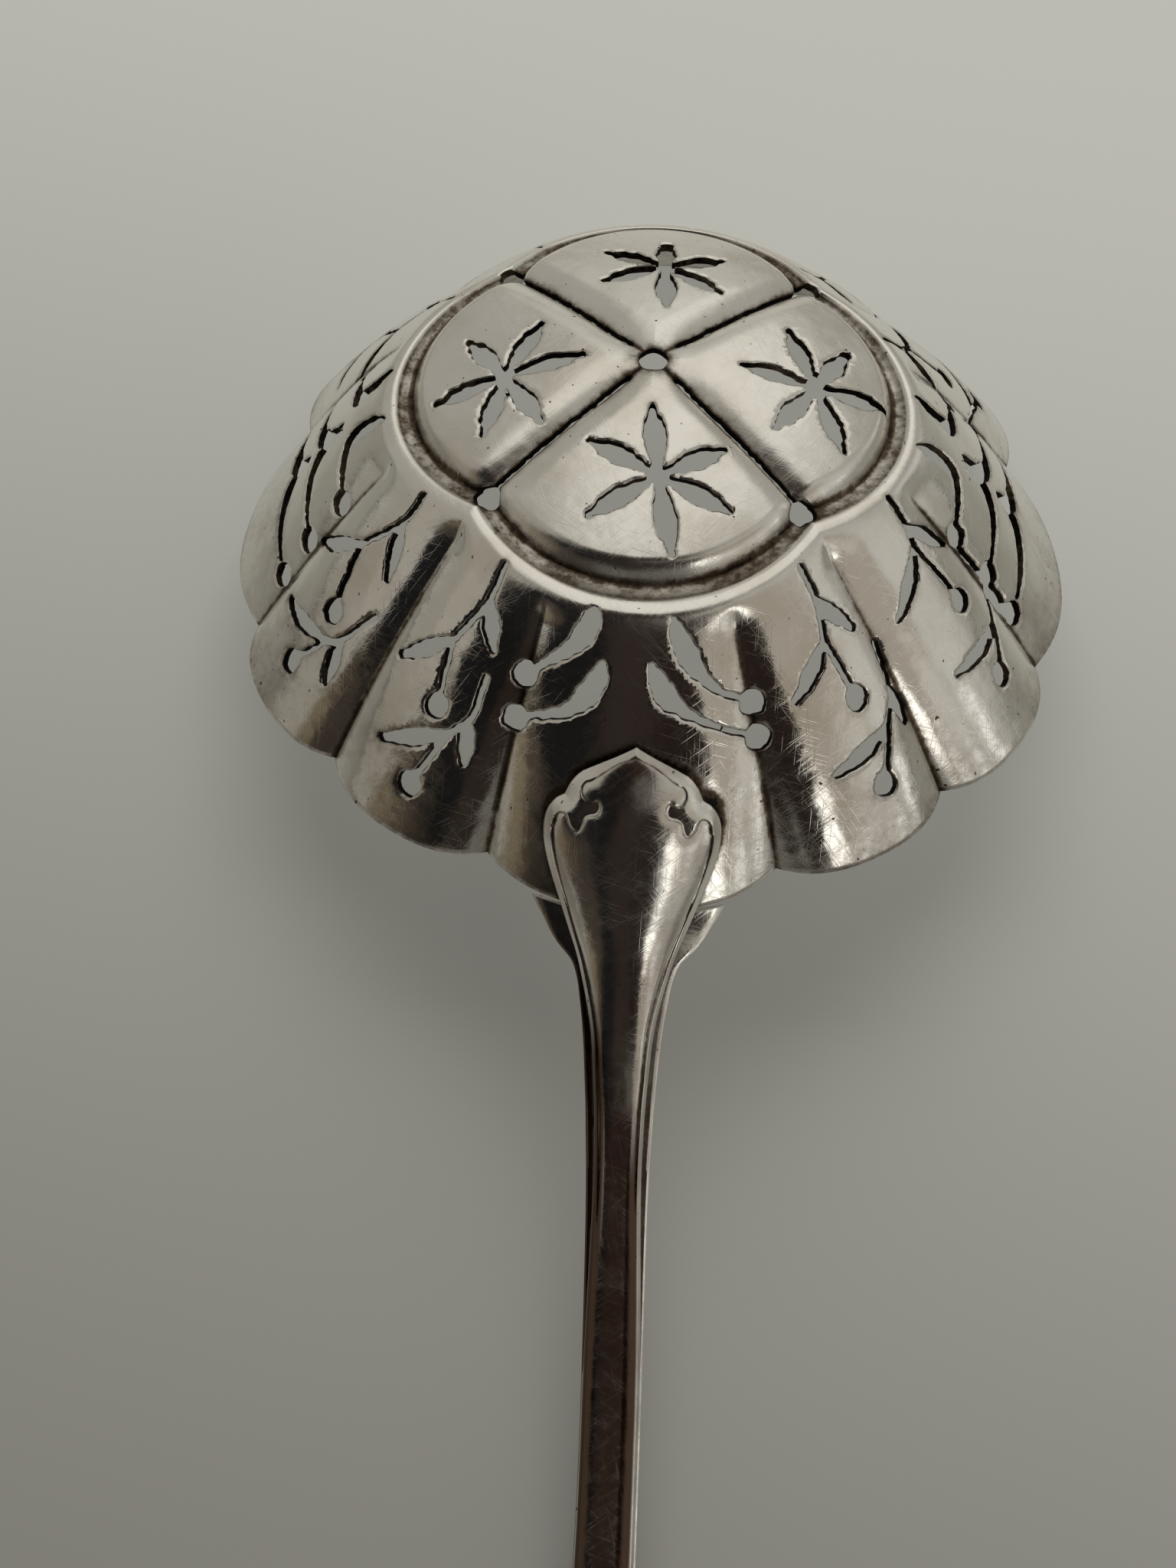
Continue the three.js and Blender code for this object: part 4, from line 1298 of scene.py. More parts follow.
@dataclass
class Handle:
    """The forged handle: a tongue on the bowl, shoulders under its rim, a stem and a wide end.

    Stations are distances along its seat line: below 0 on the tongue, 0 at the bowl's rim, then down
    the neck and the stem to the tip.
    """

    shape: BowlShape
    matrix: Matrix
    tongue_length: float = 12.44
    tongue_edge: float = 0.85
    tongue_crown: float = 2.3
    dome_width: float = 1.03
    dome_middle: float = -5.6
    dome_length: float = 7.6
    border_rise: float = 0.85
    border_bevel: float = 1.5
    border_step: float = 0.09
    border_moat: Fade = Fade(0.1, 0.3)
    moat_line: Fade = Fade(0.45, 0.08)
    moat_line_in: float = 0.07
    moat_fade: float = 0.5
    moat_fade_run: Place = (-7, -1)
    tongue_to_stem: Place = (-1.5, 4)
    seat_gap: float = 0.45
    foot_sink: float = 0.12
    shoulder_length: float = 4.2
    shoulder_side: tuple[Place, ...] = (
        (0.2, 7.2), (0.8, 6.75), (1.5, 6.1), (2.2, 5.55), (2.8, 5.0), (3.3, 4.45), (3.75, 4.02),
        (4.3, 3.72), (5.3, 3.42), (6.5, 3.22), (8.0, 3.0), (10.0, 2.79), (12.5, 2.61), (15.5, 2.43),
    )
    shoulder_thickness: float = 1.3
    shoulder_step: float = 0.35
    shoulder_bevel: float = 0.12
    bevel_share: float = 0.06
    under_square: float = 0.55
    under_round: float = 0.75
    neck_run: float = 13
    neck_drop: float = 9.5
    neck_ease: float = 7
    stem_slope: float = 24
    stem_width: float = 4.4
    stem_lean: float = 0.9
    # Painted dark reflection on the stem: shares of the half width and stations where it lies, and the bright
    # right edge that it leaves bare.
    left_dark_reflection: Place = (0.4, 0.66)
    left_dark_reflection_run: Place = (4, 11)
    right_dark_reflection: Place = (0.26, 0.46)
    right_dark_reflection_run: Place = (13, 20)
    under_dark_reflection_run: Place = (0, 6)
    middle_dark_reflection: float = 0.35
    bright_right_edge: Place = (0.8, 0.92)
    dark_reflection_end: Place = (46, 74)
    stem_lean_run: Place = (2, 48)
    stem_thickness: float = 3
    stem_crown: float = 0.42
    stem_flatness: float = 3.6
    stem_sides: tuple[Place, ...] = ((0.3, 0.49), (0.42, 0.56), (0.62, 0.85))
    stem_thinning: Place = (0.45, 0.9)
    roll_width: float = 0.35
    roll_depth: float = 0.3
    thread_inset: float = 0.62
    thread_length: float = 27
    thread_height: float = 0.1
    thread_fade: float = 0.55
    thread_ridge: Fade = Fade(1, 0.14)
    thread_ridge_in: float = 0.22
    thread_groove: Fade = Fade(0.6, 0.15)
    thread_groove_in: float = 0.55
    thread_line: Fade = Fade(0.5, 0.12)
    thread_line_in: float = 0.5
    thread_line_start: Place = (2, 5)
    inset_fade: Place = (0.5, 1.3)
    end_inset: float = 0.12
    least_half: float = 0.06
    handle_run: float = 125
    handle_drop: float = 33
    tip_slope: float = 10.5
    end_width: float = 18
    end_thickness: float = 2
    end_sides: tuple[Place, ...] = ((0.78, 0.36), (0.9, 0.5), (0.965, 0.42), (0.99, 0.2), (1, 0.03))
    rim_gap: float = 0.35
    outline_run: float = 14.0
    side_limit: float = 0.9
    tongue_side: tuple[Place, ...] = (
        (0, -12.44), (1.3, -11.74), (2.5, -11.15), (3.76, -10.47), (4.45, -9.7), (4.84, -8.95),
        (5.0, -8.68), (5.54, -8.33), (6.07, -7.6), (6.34, -6.7), (6.36, -5.6), (6.13, -4.27),
        (5.62, -2.6), (4.95, -0.77), (4.32, 1.0), (3.56, 3.1), (3.18, 4.5), (2.82, 6.0), (2.52, 7.4),
        (2.29, 8.8), (2.14, 10.2),
    )
    field_side: tuple[Place, ...] = (
        (0, -11.87), (1.13, -11.4), (2.15, -10.75), (2.97, -10.1), (3.46, -9.88), (3.72, -9.43),
        (3.7, -8.95), (3.38, -8.53), (2.95, -8.46), (2.55, -8.66), (2.33, -8.2), (2.55, -7.68),
        (3.03, -7.56), (3.44, -7.36), (3.58, -6.93), (3.7, -6.56), (3.9, -6.36), (4.2, -6.4),
        (4.48, -6.75), (4.6, -7.1), (4.78, -7.46), (5.12, -7.52), (5.48, -7.25), (5.68, -6.6),
        (5.75, -5.85), (5.63, -4.8), (5.33, -3.5), (4.97, -2.3), (4.45, -0.8), (3.87, 1.0), (3.15, 3.1),
        (2.78, 4.5), (2.42, 6.0), (2.12, 7.4), (1.9, 8.8), (1.75, 10.2),
    )
    seat_steps: tuple[int, int, int] = (400, 300, 900)
    side_steps: int = 24
    tongue_steps: int = 8
    outline_steps: int = 6
    across: int = 132
    crowding: float = 0.35
    below_steps: int = 17
    top_steps: int = 33
    under_steps: int = 25
    upper_sections: tuple[int, ...] = (190, 70, 110, 40)
    lower_sections: tuple[int, ...] = (40, 60, 110, 40)
    close_run: float = 2
    section_gaps: Place = (0.2, 0.6)
    tip_shares: Place = (0.9, 0.905)
    tip_gap: float = 0.05
    sharp: float = 40
    made: bpy.types.Object = field(init=False)
    seat: np.ndarray = field(init=False)
    station: np.ndarray = field(init=False)
    wall_shares: np.ndarray = field(init=False)
    neck_length: float = field(init=False)
    length: float = field(init=False)

    def __post_init__(self) -> None:
        """Draws the seat line: down the bowl's wall, round the neck and along the stem."""
        on_wall, on_neck, on_stem = self.seat_steps
        self.wall_shares = np.linspace(0, 1, on_wall)
        wall = self.shape.wall_point(self.wall_shares, np.zeros(on_wall))[:, 1:]
        rim, down = wall[-1], wall[-1] - wall[-2]
        down /= np.linalg.norm(down)
        neck = rim + (-self.neck_run, -self.neck_drop)
        tip = neck + (-self.handle_run, -self.handle_drop)
        arrive = neck - self.slope(self.stem_slope) * self.neck_run / 3
        bend = bezier((rim, rim + down * self.neck_run / 3, arrive, neck), np.linspace(0, 1, on_neck))
        onward = neck + self.slope(self.stem_slope) * self.handle_run / 3
        flatten = tip - self.slope(self.tip_slope) * self.handle_run / 3
        stem = bezier((neck, onward, flatten, tip), np.linspace(0, 1, on_stem))
        self.seat = np.vstack([wall, bend[1:], stem[1:]])
        steps = np.linalg.norm(np.diff(self.seat, axis=0), axis=1)
        self.station = np.concatenate([[0], np.cumsum(steps)]) - np.sum(steps[: len(wall) - 1])
        self.neck_length = float(self.station[len(wall) + len(bend) - 2])
        self.length = float(self.station[-1])

    @staticmethod
    def slope(angle: float) -> np.ndarray:
        """Direction in y and z, away from the bowl, that falls at an angle in degrees."""
        return np.array([-math.cos(math.radians(angle)), -math.sin(math.radians(angle))])

    def stations_on_wall(self, share: np.ndarray) -> np.ndarray:
        """Distance along the seat line, from the rim, of shares of the wall."""
        return np.interp(share, self.wall_shares, self.station[: len(self.wall_shares)])

    def seat_frame(self, station: np.ndarray) -> tuple[np.ndarray, np.ndarray]:
        """Follows the seat line.

        Args:
            station: Stations on it.

        Returns:
            Points of the line, and the directions off it, both as y and z.
        """
        way = np.gradient(self.seat, self.station, axis=0)
        point = np.stack([np.interp(station, self.station, self.seat[:, i]) for i in (0, 1)], -1)
        tangent = np.stack([np.interp(station, self.station, way[:, i]) for i in (0, 1)], -1)
        tangent /= np.linalg.norm(tangent, axis=-1, keepdims=True)
        return point, np.stack([tangent[..., 1], -tangent[..., 0]], -1)

    def side_fall(self, station: np.ndarray, x: np.ndarray) -> tuple[np.ndarray, np.ndarray]:
        """How the bowl's wall falls away to the side of the seat line.

        Args:
            station: Stations on the seat line.
            x: Distances to the side.

        Returns:
            The fall off the seat, and how far the rim draws back along it. Both die out down the neck.
        """
        on_wall = np.minimum(station, 0)
        share = np.interp(on_wall, self.station[: len(self.wall_shares)], self.wall_shares)
        middle = self.shape.wall_point(share, 0 * share)
        turn = np.arcsin(np.clip(x / -middle[..., 1], -self.side_limit, self.side_limit))
        side = self.shape.wall_point(share, turn)
        normal = self.seat_frame(on_wall)[1]
        fade = 1 - smoothstep(station, 0, self.neck_length)
        fall = np.sum((middle - side)[..., 1:] * normal, -1) * fade
        along = np.stack([-normal[..., 1], normal[..., 0]], -1)
        return fall, np.sum((side - middle)[..., 1:] * along, -1) * fade

    def point(self, station: np.ndarray, x: np.ndarray, height: np.ndarray) -> np.ndarray:
        """Places points round the seat line.

        Args:
            station: Stations on the seat line.
            x: Distances to the side.
            height: Distances off the seat.

        Returns:
            The points.
        """
        station, x, height = np.broadcast_arrays(*(np.asarray(v, float) for v in (station, x, height)))
        seat, normal = self.seat_frame(station)
        off = seat + normal * (height - self.side_fall(station, x)[0])[..., None]
        lean = self.stem_lean * smoothstep(station, *self.stem_lean_run)
        return np.concatenate([(x + lean)[..., None], off], -1)

    def lower_half(self, station: np.ndarray) -> np.ndarray:
        """Half width of the lower layer: shoulders, stem and wide end.

        Args:
            station: Stations on the seat line.

        Returns:
            Half widths there.
        """
        line = spline(
            [
                *self.shoulder_side,
                (self.neck_length + self.neck_ease, self.stem_width / 2),
                *((self.length * share, self.stem_width * wide) for share, wide in self.stem_sides),
                *((self.length * share, self.end_width * wide) for share, wide in self.end_sides),
            ],
            self.side_steps,
        )
        return np.interp(station, line[:, 0], line[:, 1])

    def upper_half(self, station: np.ndarray) -> np.ndarray:
        """Half width of the upper layer: tongue, then the stem inside its thread.

        Args:
            station: Stations on the seat line.

        Returns:
            Half widths there.
        """
        tongue = spline(self.tongue_side, self.tongue_steps)[:, ::-1]
        fade = smoothstep(station, *(self.thread_length * share for share in self.inset_fade))
        stem = self.lower_half(station) - blend(self.thread_inset, self.end_inset, fade)
        on_tongue = station < self.tongue_side[-1][1]
        half = np.where(on_tongue, np.interp(station, tongue[:, 0], tongue[:, 1]), stem)
        return np.maximum(half, self.least_half)

    def mirrored(self, side: Sequence[Place], end: Place) -> np.ndarray:
        """Closes a line on one side of the tongue into an outline of both sides."""
        half = np.vstack([spline(side, self.outline_steps), end])
        return np.vstack([half, half[:0:-1] * (-1, 1)])

    def tongue_outline(self) -> np.ndarray:
        """Outline of the tongue, run on past the rim."""
        return self.mirrored(self.tongue_side, (self.tongue_side[-1][0], self.outline_run))

    def field_outline(self) -> np.ndarray:
        """Outline of the domed field inside the tongue's border."""
        return self.mirrored(self.field_side, (self.field_side[-1][0], self.outline_run))

    def thickness(self, station: np.ndarray) -> np.ndarray:
        """Thickness of the stem, less at its end."""
        share = smoothstep(station / self.length, *self.stem_thinning)
        return blend(self.stem_thickness, self.end_thickness, share)

    def inside_outlines(self, station: np.ndarray, x: np.ndarray) -> tuple[np.ndarray, np.ndarray]:
        """Measures points against the tongue's two outlines.

        Args:
            station: Stations on the seat line.
            x: Distances to the side.

        Returns:
            Distances in from the tongue's outline and from its field's, large further down the stem.
        """
        flat = np.stack([x.ravel(), station.ravel()], -1)
        near = flat[:, 1] < self.tongue_side[-1][1] - 1
        gaps = []
        for outline in (self.tongue_outline(), self.field_outline()):
            gap = np.full(len(flat), FAR)
            gap[near] = -distance_to_outline(flat[near], outline)
            gaps.append(gap.reshape(x.shape))
        return gaps[0], gaps[1]

    def hollows(self, station: np.ndarray, x: np.ndarray, half: np.ndarray) -> np.ndarray:
        """How deep in the border's moat or the thread's groove each point lies.

        Args:
            station: Stations on the seat line.
            x: Distances to the side.
            half: Half widths there.

        Returns:
            Numbers from 0 to 1.
        """
        inner = self.inside_outlines(station, x)[1]
        moat = self.moat_line.around(inner - self.moat_line_in)
        moat = moat * (1 - self.moat_fade * smoothstep(station, *self.moat_fade_run))
        groove = self.thread_line.around(half - np.abs(x) - self.thread_line_in)
        groove = groove * smoothstep(station, *self.thread_line_start) * self.thread_left(station)
        return np.maximum(moat, groove)

    def dark_reflection_mask(self, station: np.ndarray, x: np.ndarray, half: np.ndarray) -> np.ndarray:
        """Painted dark reflection on the stem's sides, left off along its bright right edge.

        Args:
            station: Stations on the seat line.
            x: Distances to the side.
            half: Half widths there.

        Returns:
            Numbers from 0 to 1.
        """
        # Painted dark reflection: the left side darkens from station 4, the right side and middle from
        # station 13 but not the right edge, and all of it fades out towards the wide end.
        aside = x / half
        left = smoothstep(-aside, *self.left_dark_reflection) * smoothstep(station, *self.left_dark_reflection_run)
        lit_right_edge = (1 - smoothstep(aside, *self.bright_right_edge)) * smoothstep(station, *self.right_dark_reflection_run)
        right = np.maximum(smoothstep(aside, *self.right_dark_reflection), self.middle_dark_reflection) * lit_right_edge
        return np.maximum(left, right) * (1 - smoothstep(station, *self.dark_reflection_end))

    def thread_left(self, station: np.ndarray) -> np.ndarray:
        """Share of the thread's height that is left as it dies out."""
        return 1 - smoothstep(station, self.thread_length * self.thread_fade, self.thread_length)

    def stem_top(self, station: np.ndarray, x: np.ndarray, half: np.ndarray) -> np.ndarray:
        """Height of the neck and the stem, with a thread along each edge, off the seat.

        Args:
            station: Stations on the seat line.
            x: Distances to the side.
            half: Half widths there.

        Returns:
            The heights.
        """
        settle = smoothstep(station, 0, self.neck_length)
        edge = blend(self.tongue_edge, self.thickness(station) / 2 - self.stem_crown, settle)
        crown = blend(self.tongue_crown, self.thickness(station) / 2, settle)
        in_from_edge = half - np.abs(x)
        across = np.clip(np.abs(x) / half, 0, 1)
        flat = 1 - across ** blend(2, self.stem_flatness, settle)
        thread = self.thread_ridge.around(in_from_edge - self.thread_ridge_in)
        thread = thread - self.thread_groove.around(in_from_edge - self.thread_groove_in)
        thread = self.thread_height * thread * self.thread_left(station)
        off_edge = np.clip(in_from_edge / self.roll_width, 0, 1)
        roll = np.sqrt(np.clip(1 - (1 - off_edge) ** 2, 0, 1)) - 1
        return edge + (crown - edge) * flat + thread + self.roll_depth * roll * settle

    def top(self, station: np.ndarray, x: np.ndarray, half: np.ndarray) -> np.ndarray:
        """Height of the upper layer off the seat.

        Args:
            station: Stations on the seat line.
            x: Distances to the side.
            half: Half widths there.

        Returns:
            Heights of the border, the domed field and the stem.
        """
        outer, inner = self.inside_outlines(station, x)
        bevel = 1 - (1 - np.clip(outer / self.border_bevel, 0, 1)) ** 2
        border = self.tongue_edge + self.border_rise * bevel
        wide = np.where(station < self.dome_middle, max(side for side, _ in self.tongue_side), half)
        end = np.maximum(self.dome_middle - station, 0) / self.dome_length
        dome = np.clip(1 - (x / (wide * self.dome_width)) ** 2 - end**2, 0, 1)
        crowned = self.tongue_edge + (self.tongue_crown - self.tongue_edge) * dome
        crowned = crowned - self.border_moat.beside(np.maximum(inner, 0))
        tongue = blend(border, crowned, smoothstep(inner, -self.border_step, self.border_step))
        return blend(tongue, self.stem_top(station, x, half), smoothstep(station, *self.tongue_to_stem))

    def sections(self, start: float, close: float, end: float, counts: tuple[int, ...]) -> np.ndarray:
        """Spaces the sections of a layer, closest near the bowl and at the tip.

        Args:
            start: Station of the first section.
            close: Station where the closest ones end.
            end: Station of the last section.
            counts: Sections in each of four runs.

        Returns:
            The stations.
        """
        gap, wide_gap = self.section_gaps
        tip, after = (self.length * share for share in self.tip_shares)
        runs = (
            (start, close),
            (close + gap, self.thread_length),
            (self.thread_length + wide_gap, tip),
            (after, end),
        )
        return np.concatenate([np.linspace(*run, count) for run, count in zip(runs, counts)])

    def upper(self) -> bpy.types.Object:
        """Makes the upper layer.

        Returns:
            A closed mesh.
        """
        stations = self.sections(
            -self.tongue_length, self.close_run, self.length - self.tip_gap, self.upper_sections
        )
        even = np.linspace(-1, 1, self.across + 1)
        even = np.sin(even * QUARTER) * self.crowding + even * (1 - self.crowding)
        half = self.upper_half(stations)
        x = half[:, None] * even
        along, halves = (np.repeat(row[:, None], len(even), axis=1) for row in (stations, half))
        top = self.point(along, x, self.top(along, x, halves))
        foot = np.where(stations < self.rim_gap, self.seat_gap, -self.foot_sink)
        below_even = np.linspace(1, -1, self.below_steps)
        below = self.point(stations[:, None], half[:, None] * below_even, foot[:, None])
        made = self.loft("handle_upper", np.concatenate([top, below], axis=1))
        bare = np.zeros((len(stations), self.below_steps))
        for name, method in (("hollow", self.hollows), ("painted_dark_reflection", self.dark_reflection_mask)):
            set_numbers(made, name, np.concatenate([method(along, x, halves), bare], axis=1).ravel())
        return made

    def lower(self) -> bpy.types.Object:
        """Makes the lower layer, with the shoulders that butt on the rim.

        Returns:
            A closed mesh.
        """
        stations = self.sections(self.rim_gap, self.shoulder_length, self.length, self.lower_sections)
        half = self.lower_half(stations)
        settle = smoothstep(stations, 0, self.neck_length)
        depth = blend(self.shoulder_thickness, self.thickness(stations) / 2, settle)
        step = -self.shoulder_step * (1 - smoothstep(stations, 0, self.shoulder_length))
        turn = np.linspace(0, math.pi, self.under_steps)[1:-1]
        flat = np.sign(np.cos(turn)) * np.abs(np.cos(turn)) ** self.under_square
        under = np.sin(turn) ** self.under_round
        on_top = np.linspace(-1, 1, self.top_steps)
        x = half[:, None] * np.concatenate([on_top, flat])
        fall = step[:, None] - (depth + step)[:, None] * under
        height = np.concatenate([np.repeat(step[:, None], self.top_steps, axis=1), fall], axis=1)
        edge = np.clip((np.abs(x) / half[:, None] - 1) / self.bevel_share + 1, 0, 1) ** 2
        height = height - self.shoulder_bevel * edge * (np.arange(x.shape[1]) < self.top_steps)
        along = np.repeat(stations[:, None], x.shape[1], axis=1)
        draw = self.side_fall(0 * along, x)[1] * (1 - smoothstep(along, 0, self.shoulder_length))
        made = self.loft("handle_lower", self.point(along + draw, x, height))
        # Painted dark reflection on the lower layer's left side, along the stem until it fades out before the
        # wide end.
        painted_dark_reflection = (x < 0) * smoothstep(along, *self.under_dark_reflection_run) * (1 - smoothstep(along, *self.dark_reflection_end))
        set_numbers(made, "hollow", np.zeros(x.size))
        set_numbers(made, "painted_dark_reflection", painted_dark_reflection.ravel())
        return made

    def loft(self, name: str, sections: np.ndarray) -> bpy.types.Object:
        """Makes a closed mesh through a row of sections.

        Args:
            name: The mesh's name.
            sections: Rings of points, each with as many.

        Returns:
            The object.
        """
        rows, ring = sections.shape[:2]
        faces: list[tuple[int, ...]] = []
        for i in range(rows - 1):
            for j in range(ring):
                here, beside = i * ring + j, i * ring + (j + 1) % ring
                faces.append((here, here + ring, beside + ring, beside))
        faces.append(tuple(range(ring)))
        faces.append(tuple(reversed(range((rows - 1) * ring, rows * ring))))
        return mesh_object(name, sections.reshape(-1, 3), faces, self.matrix)

    def build(self) -> bpy.types.Object:
        """Joins the two layers into one forging.

        Returns:
            The handle.
        """
        upper, lower = self.upper(), self.lower()
        join = upper.modifiers.new("forge", "BOOLEAN")
        join.operation, join.solver, join.object = "UNION", "MANIFOLD", lower
        shown = upper.evaluated_get(bpy.context.evaluated_depsgraph_get())
        mesh = bpy.data.meshes.new_from_object(shown)
        mesh.name = "forged_handle"
        self.made = bpy.data.objects.new("forged_handle", mesh)
        bpy.context.scene.collection.objects.link(self.made)
        bpy.data.objects.remove(upper)
        bpy.data.objects.remove(lower)
        shade(self.made, self.sharp)
        return self.made

    def dress(self, finish: SilverFinish) -> None:
        """Gives the handle its finish and sets it in the frame.

        Args:
            finish: The finish.
        """
        self.made.data.materials.clear()
        self.made.data.materials.append(finish.material())
        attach(self.made, "root")
        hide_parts("handle")


@dataclass
class SolderSeam:
    """The silver solder under the tongue and along the rim."""

    handle: Handle
    inset: float = 0.3
    least_half: float = 0.1
    low: float = 0.08
    high: float = 0.44
    past_rim: float = 0.3
    steps: int = 90
    across: int = 41
    sharp: float = 40
    made: bpy.types.Object = field(init=False)

    def build(self) -> bpy.types.Object:
        """Makes the thin layer between bowl and tongue.

        Returns:
            The seam.
        """
        handle = self.handle
        stations = np.linspace(-handle.tongue_length + self.inset, self.past_rim, self.steps)
        half = np.maximum(handle.upper_half(stations) - self.inset, self.least_half)
        even = np.linspace(-1, 1, self.across)
        top = handle.point(stations[:, None], half[:, None] * even, self.high)
        below = handle.point(stations[:, None], half[:, None] * even[::-1], self.low)
        self.made = handle.loft("solder_line", np.concatenate([top, below], axis=1))
        shade(self.made, self.sharp)
        return self.made

    def dress(self, finish: SilverFinish) -> None:
        """Gives the solder its finish and sets it in the frame.

        Args:
            finish: The finish.
        """
        self.made.data.materials.append(finish.material())
        set_numbers(self.made, "hollow", np.ones(len(self.made.data.vertices)))
        set_numbers(self.made, "edge", np.zeros(len(self.made.data.vertices)))
        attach(self.made, "root")
        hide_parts("solder_seam")


@dataclass(frozen=True)
class Lamp:
    """A soft box that faces the spoon."""

    name: str
    place: Vec3
    size: Place
    power: float
    colour: Vec3 = (1, 1, 1)


@dataclass(frozen=True)
class RoomSide:
    """A part of the room round a direction, seen only in reflections and as soft light.

    Turn is degrees to the right of straight ahead, +Y, and lift degrees above the table. The part is
    at its full colour out to one angle from its middle, and gone at another.
    """

    name: str
    turn: float
    lift: float
    full: float
    gone: float
    colour: Colour

    def towards(self) -> Vector:
        """Direction of its middle."""
        turn, lift = math.radians(self.turn), math.radians(self.lift)
        return Vector((math.cos(lift) * math.sin(turn), math.cos(lift) * math.cos(turn), math.sin(lift)))


@dataclass
class Studio:
    """Table, soft light and camera."""

    matrix: Matrix
    target: Vec3 = (0, 0.06, 0.015)
    table_size: float = 24
    table: Colour = (0.56, 0.555, 0.525, 1)
    # Painted shade: the table's glow runs from dark near the camera to pale far off, and in reflections it
    # darkens to the sides.
    table_near_shade: Colour = (0.02, 0.02, 0.012, 1)
    table_far_light: Colour = (0.68, 0.68, 0.615, 1)
    table_light_falloff: Place = (-0.05, 0.15)
    table_falloff_lean: float = 0.3
    table_glow: float = 0.4
    table_reflection_sides: Place = (0.03, 0.085)
    table_reflection_dim: float = 0.75
    camera_place: Vec3 = (1.68, -116.16, 134.87)
    camera_turn: Vec3 = (2.53985, 0.08287, -0.01934)
    clip: Place = (0.005, 20)
    focal_pixels: float = 2840
    image_width: float = 1536
    sensor: float = 36
    lamps: tuple[Lamp, ...] = (Lamp("far_window", (0.0, 0.4, 0.4), (0.5, 0.3), 1.25, (1, 0.985, 0.95)),)
    room: Colour = (0.37, 0.36, 0.33, 1)
    room_sides: tuple[RoomSide, ...] = (
        RoomSide("far_skirting", -3, 10, 9, 19, (0.52, 0.51, 0.475, 1)),
        RoomSide("far_wall", 8, 47, 12, 28, (0.78, 0.765, 0.715, 1)),
        RoomSide("far_sill", 10, 29, 7, 19, (0.8, 0.785, 0.735, 1)),
        RoomSide("far_ceiling", 0, 67, 6, 18, (0.78, 0.765, 0.715, 1)),
        RoomSide("ceiling", 0, 94, 6, 16, (0.36, 0.35, 0.32, 1)),
        RoomSide("left_wall", -85, 36, 14, 30, (0.36, 0.34, 0.305, 1)),
        RoomSide("left_skirting", -98, 2, 14, 30, (0.29, 0.275, 0.24, 1)),
        RoomSide("left_frame", -95, 26, 6, 11, (0.36, 0.34, 0.3, 1)),
        RoomSide("right_wall", 90, 42, 16, 32, (0.45, 0.44, 0.415, 1)),
        RoomSide("right_corner", 58, 13, 8, 15, (0.5, 0.49, 0.47, 1)),
        RoomSide("right_chest", 58, 3, 6, 11, (0.62, 0.61, 0.58, 1)),
        RoomSide("right_frame", 90, 18, 9, 17, (0.52, 0.51, 0.475, 1)),
        RoomSide("right_shelf", 122, 30, 17, 26, (0.36, 0.33, 0.285, 1)),
        RoomSide("right_blind", 112, 20, 6, 12, (0.52, 0.5, 0.46, 1)),
        RoomSide("near_skirting", 180, 8, 22, 42, (0.14, 0.135, 0.12, 1)),
        RoomSide("left_shelf", -127, 18, 11, 17, (0.06, 0.048, 0.036, 1)),
        RoomSide("left_drawer", -141, 12, 12, 17, (0.045, 0.036, 0.029, 1)),
        RoomSide("left_lamp", -119, 10, 5, 10, (0.17, 0.14, 0.095, 1)),
        RoomSide("upper_screen", -165, 74, 20, 27, (0.03, 0.017, 0.013, 1)),
        RoomSide("left_screen", -128, 37, 11, 14, (0.009, 0.009, 0.01, 1)),
        RoomSide("near_screen", -150, 37, 14, 18, (0.009, 0.009, 0.009, 1)),
        RoomSide("tall_screen", -140, 60, 13, 19, (0.01, 0.009, 0.009, 1)),
        RoomSide("middle_screen", -172, 34, 11, 16, (0.024, 0.018, 0.015, 1)),
        RoomSide("right_screen", 160, 40, 14, 17, (0.018, 0.012, 0.01, 1)),
        RoomSide("high_screen", -176, 50, 8, 13, (0.028, 0.021, 0.018, 1)),
        RoomSide("screen_gap", 161, 62, 4, 10, (0.11, 0.105, 0.095, 1)),
        RoomSide("window_left", 96, 7, 2, 6, (0.95, 0.94, 0.91, 1)),
        RoomSide("window_middle", 110, 9, 2, 6, (0.85, 0.84, 0.81, 1)),
        RoomSide("window_right", 127, 17, 2, 7, (0.8, 0.79, 0.76, 1)),
        RoomSide("window_edge", 142, 25, 4, 8, (1.6, 1.58, 1.5, 1)),
    )

    def floor(self) -> None:
        """Lays a pale table whose glow holds painted shade, darker near the camera, and painted dark
        reflections to its sides.
        """
        bpy.ops.mesh.primitive_plane_add(size=self.table_size, location=(0, 0, 0))
        floor = bpy.context.object
        floor.name = "table"
        material = bpy.data.materials.new("pale_table")
        material.use_nodes = True
        graph = NodeGraph(material.node_tree)
        lit = graph.add("ShaderNodeBsdfDiffuse", {"Color": self.table})
        split = graph.add("ShaderNodeSeparateXYZ", {0: graph.add("ShaderNodeTexCoord").outputs["Object"]})
        # Painted light fall-off: the glow darkens towards the near side and to the left.
        lean = graph.math("MULTIPLY", split.outputs["X"], self.table_falloff_lean)
        back = graph.math("ADD", split.outputs["Y"], lean)
        colour = graph.mix(graph.fit(back, *self.table_light_falloff), self.table_near_shade, self.table_far_light)
        rays = graph.add("ShaderNodeLightPath")
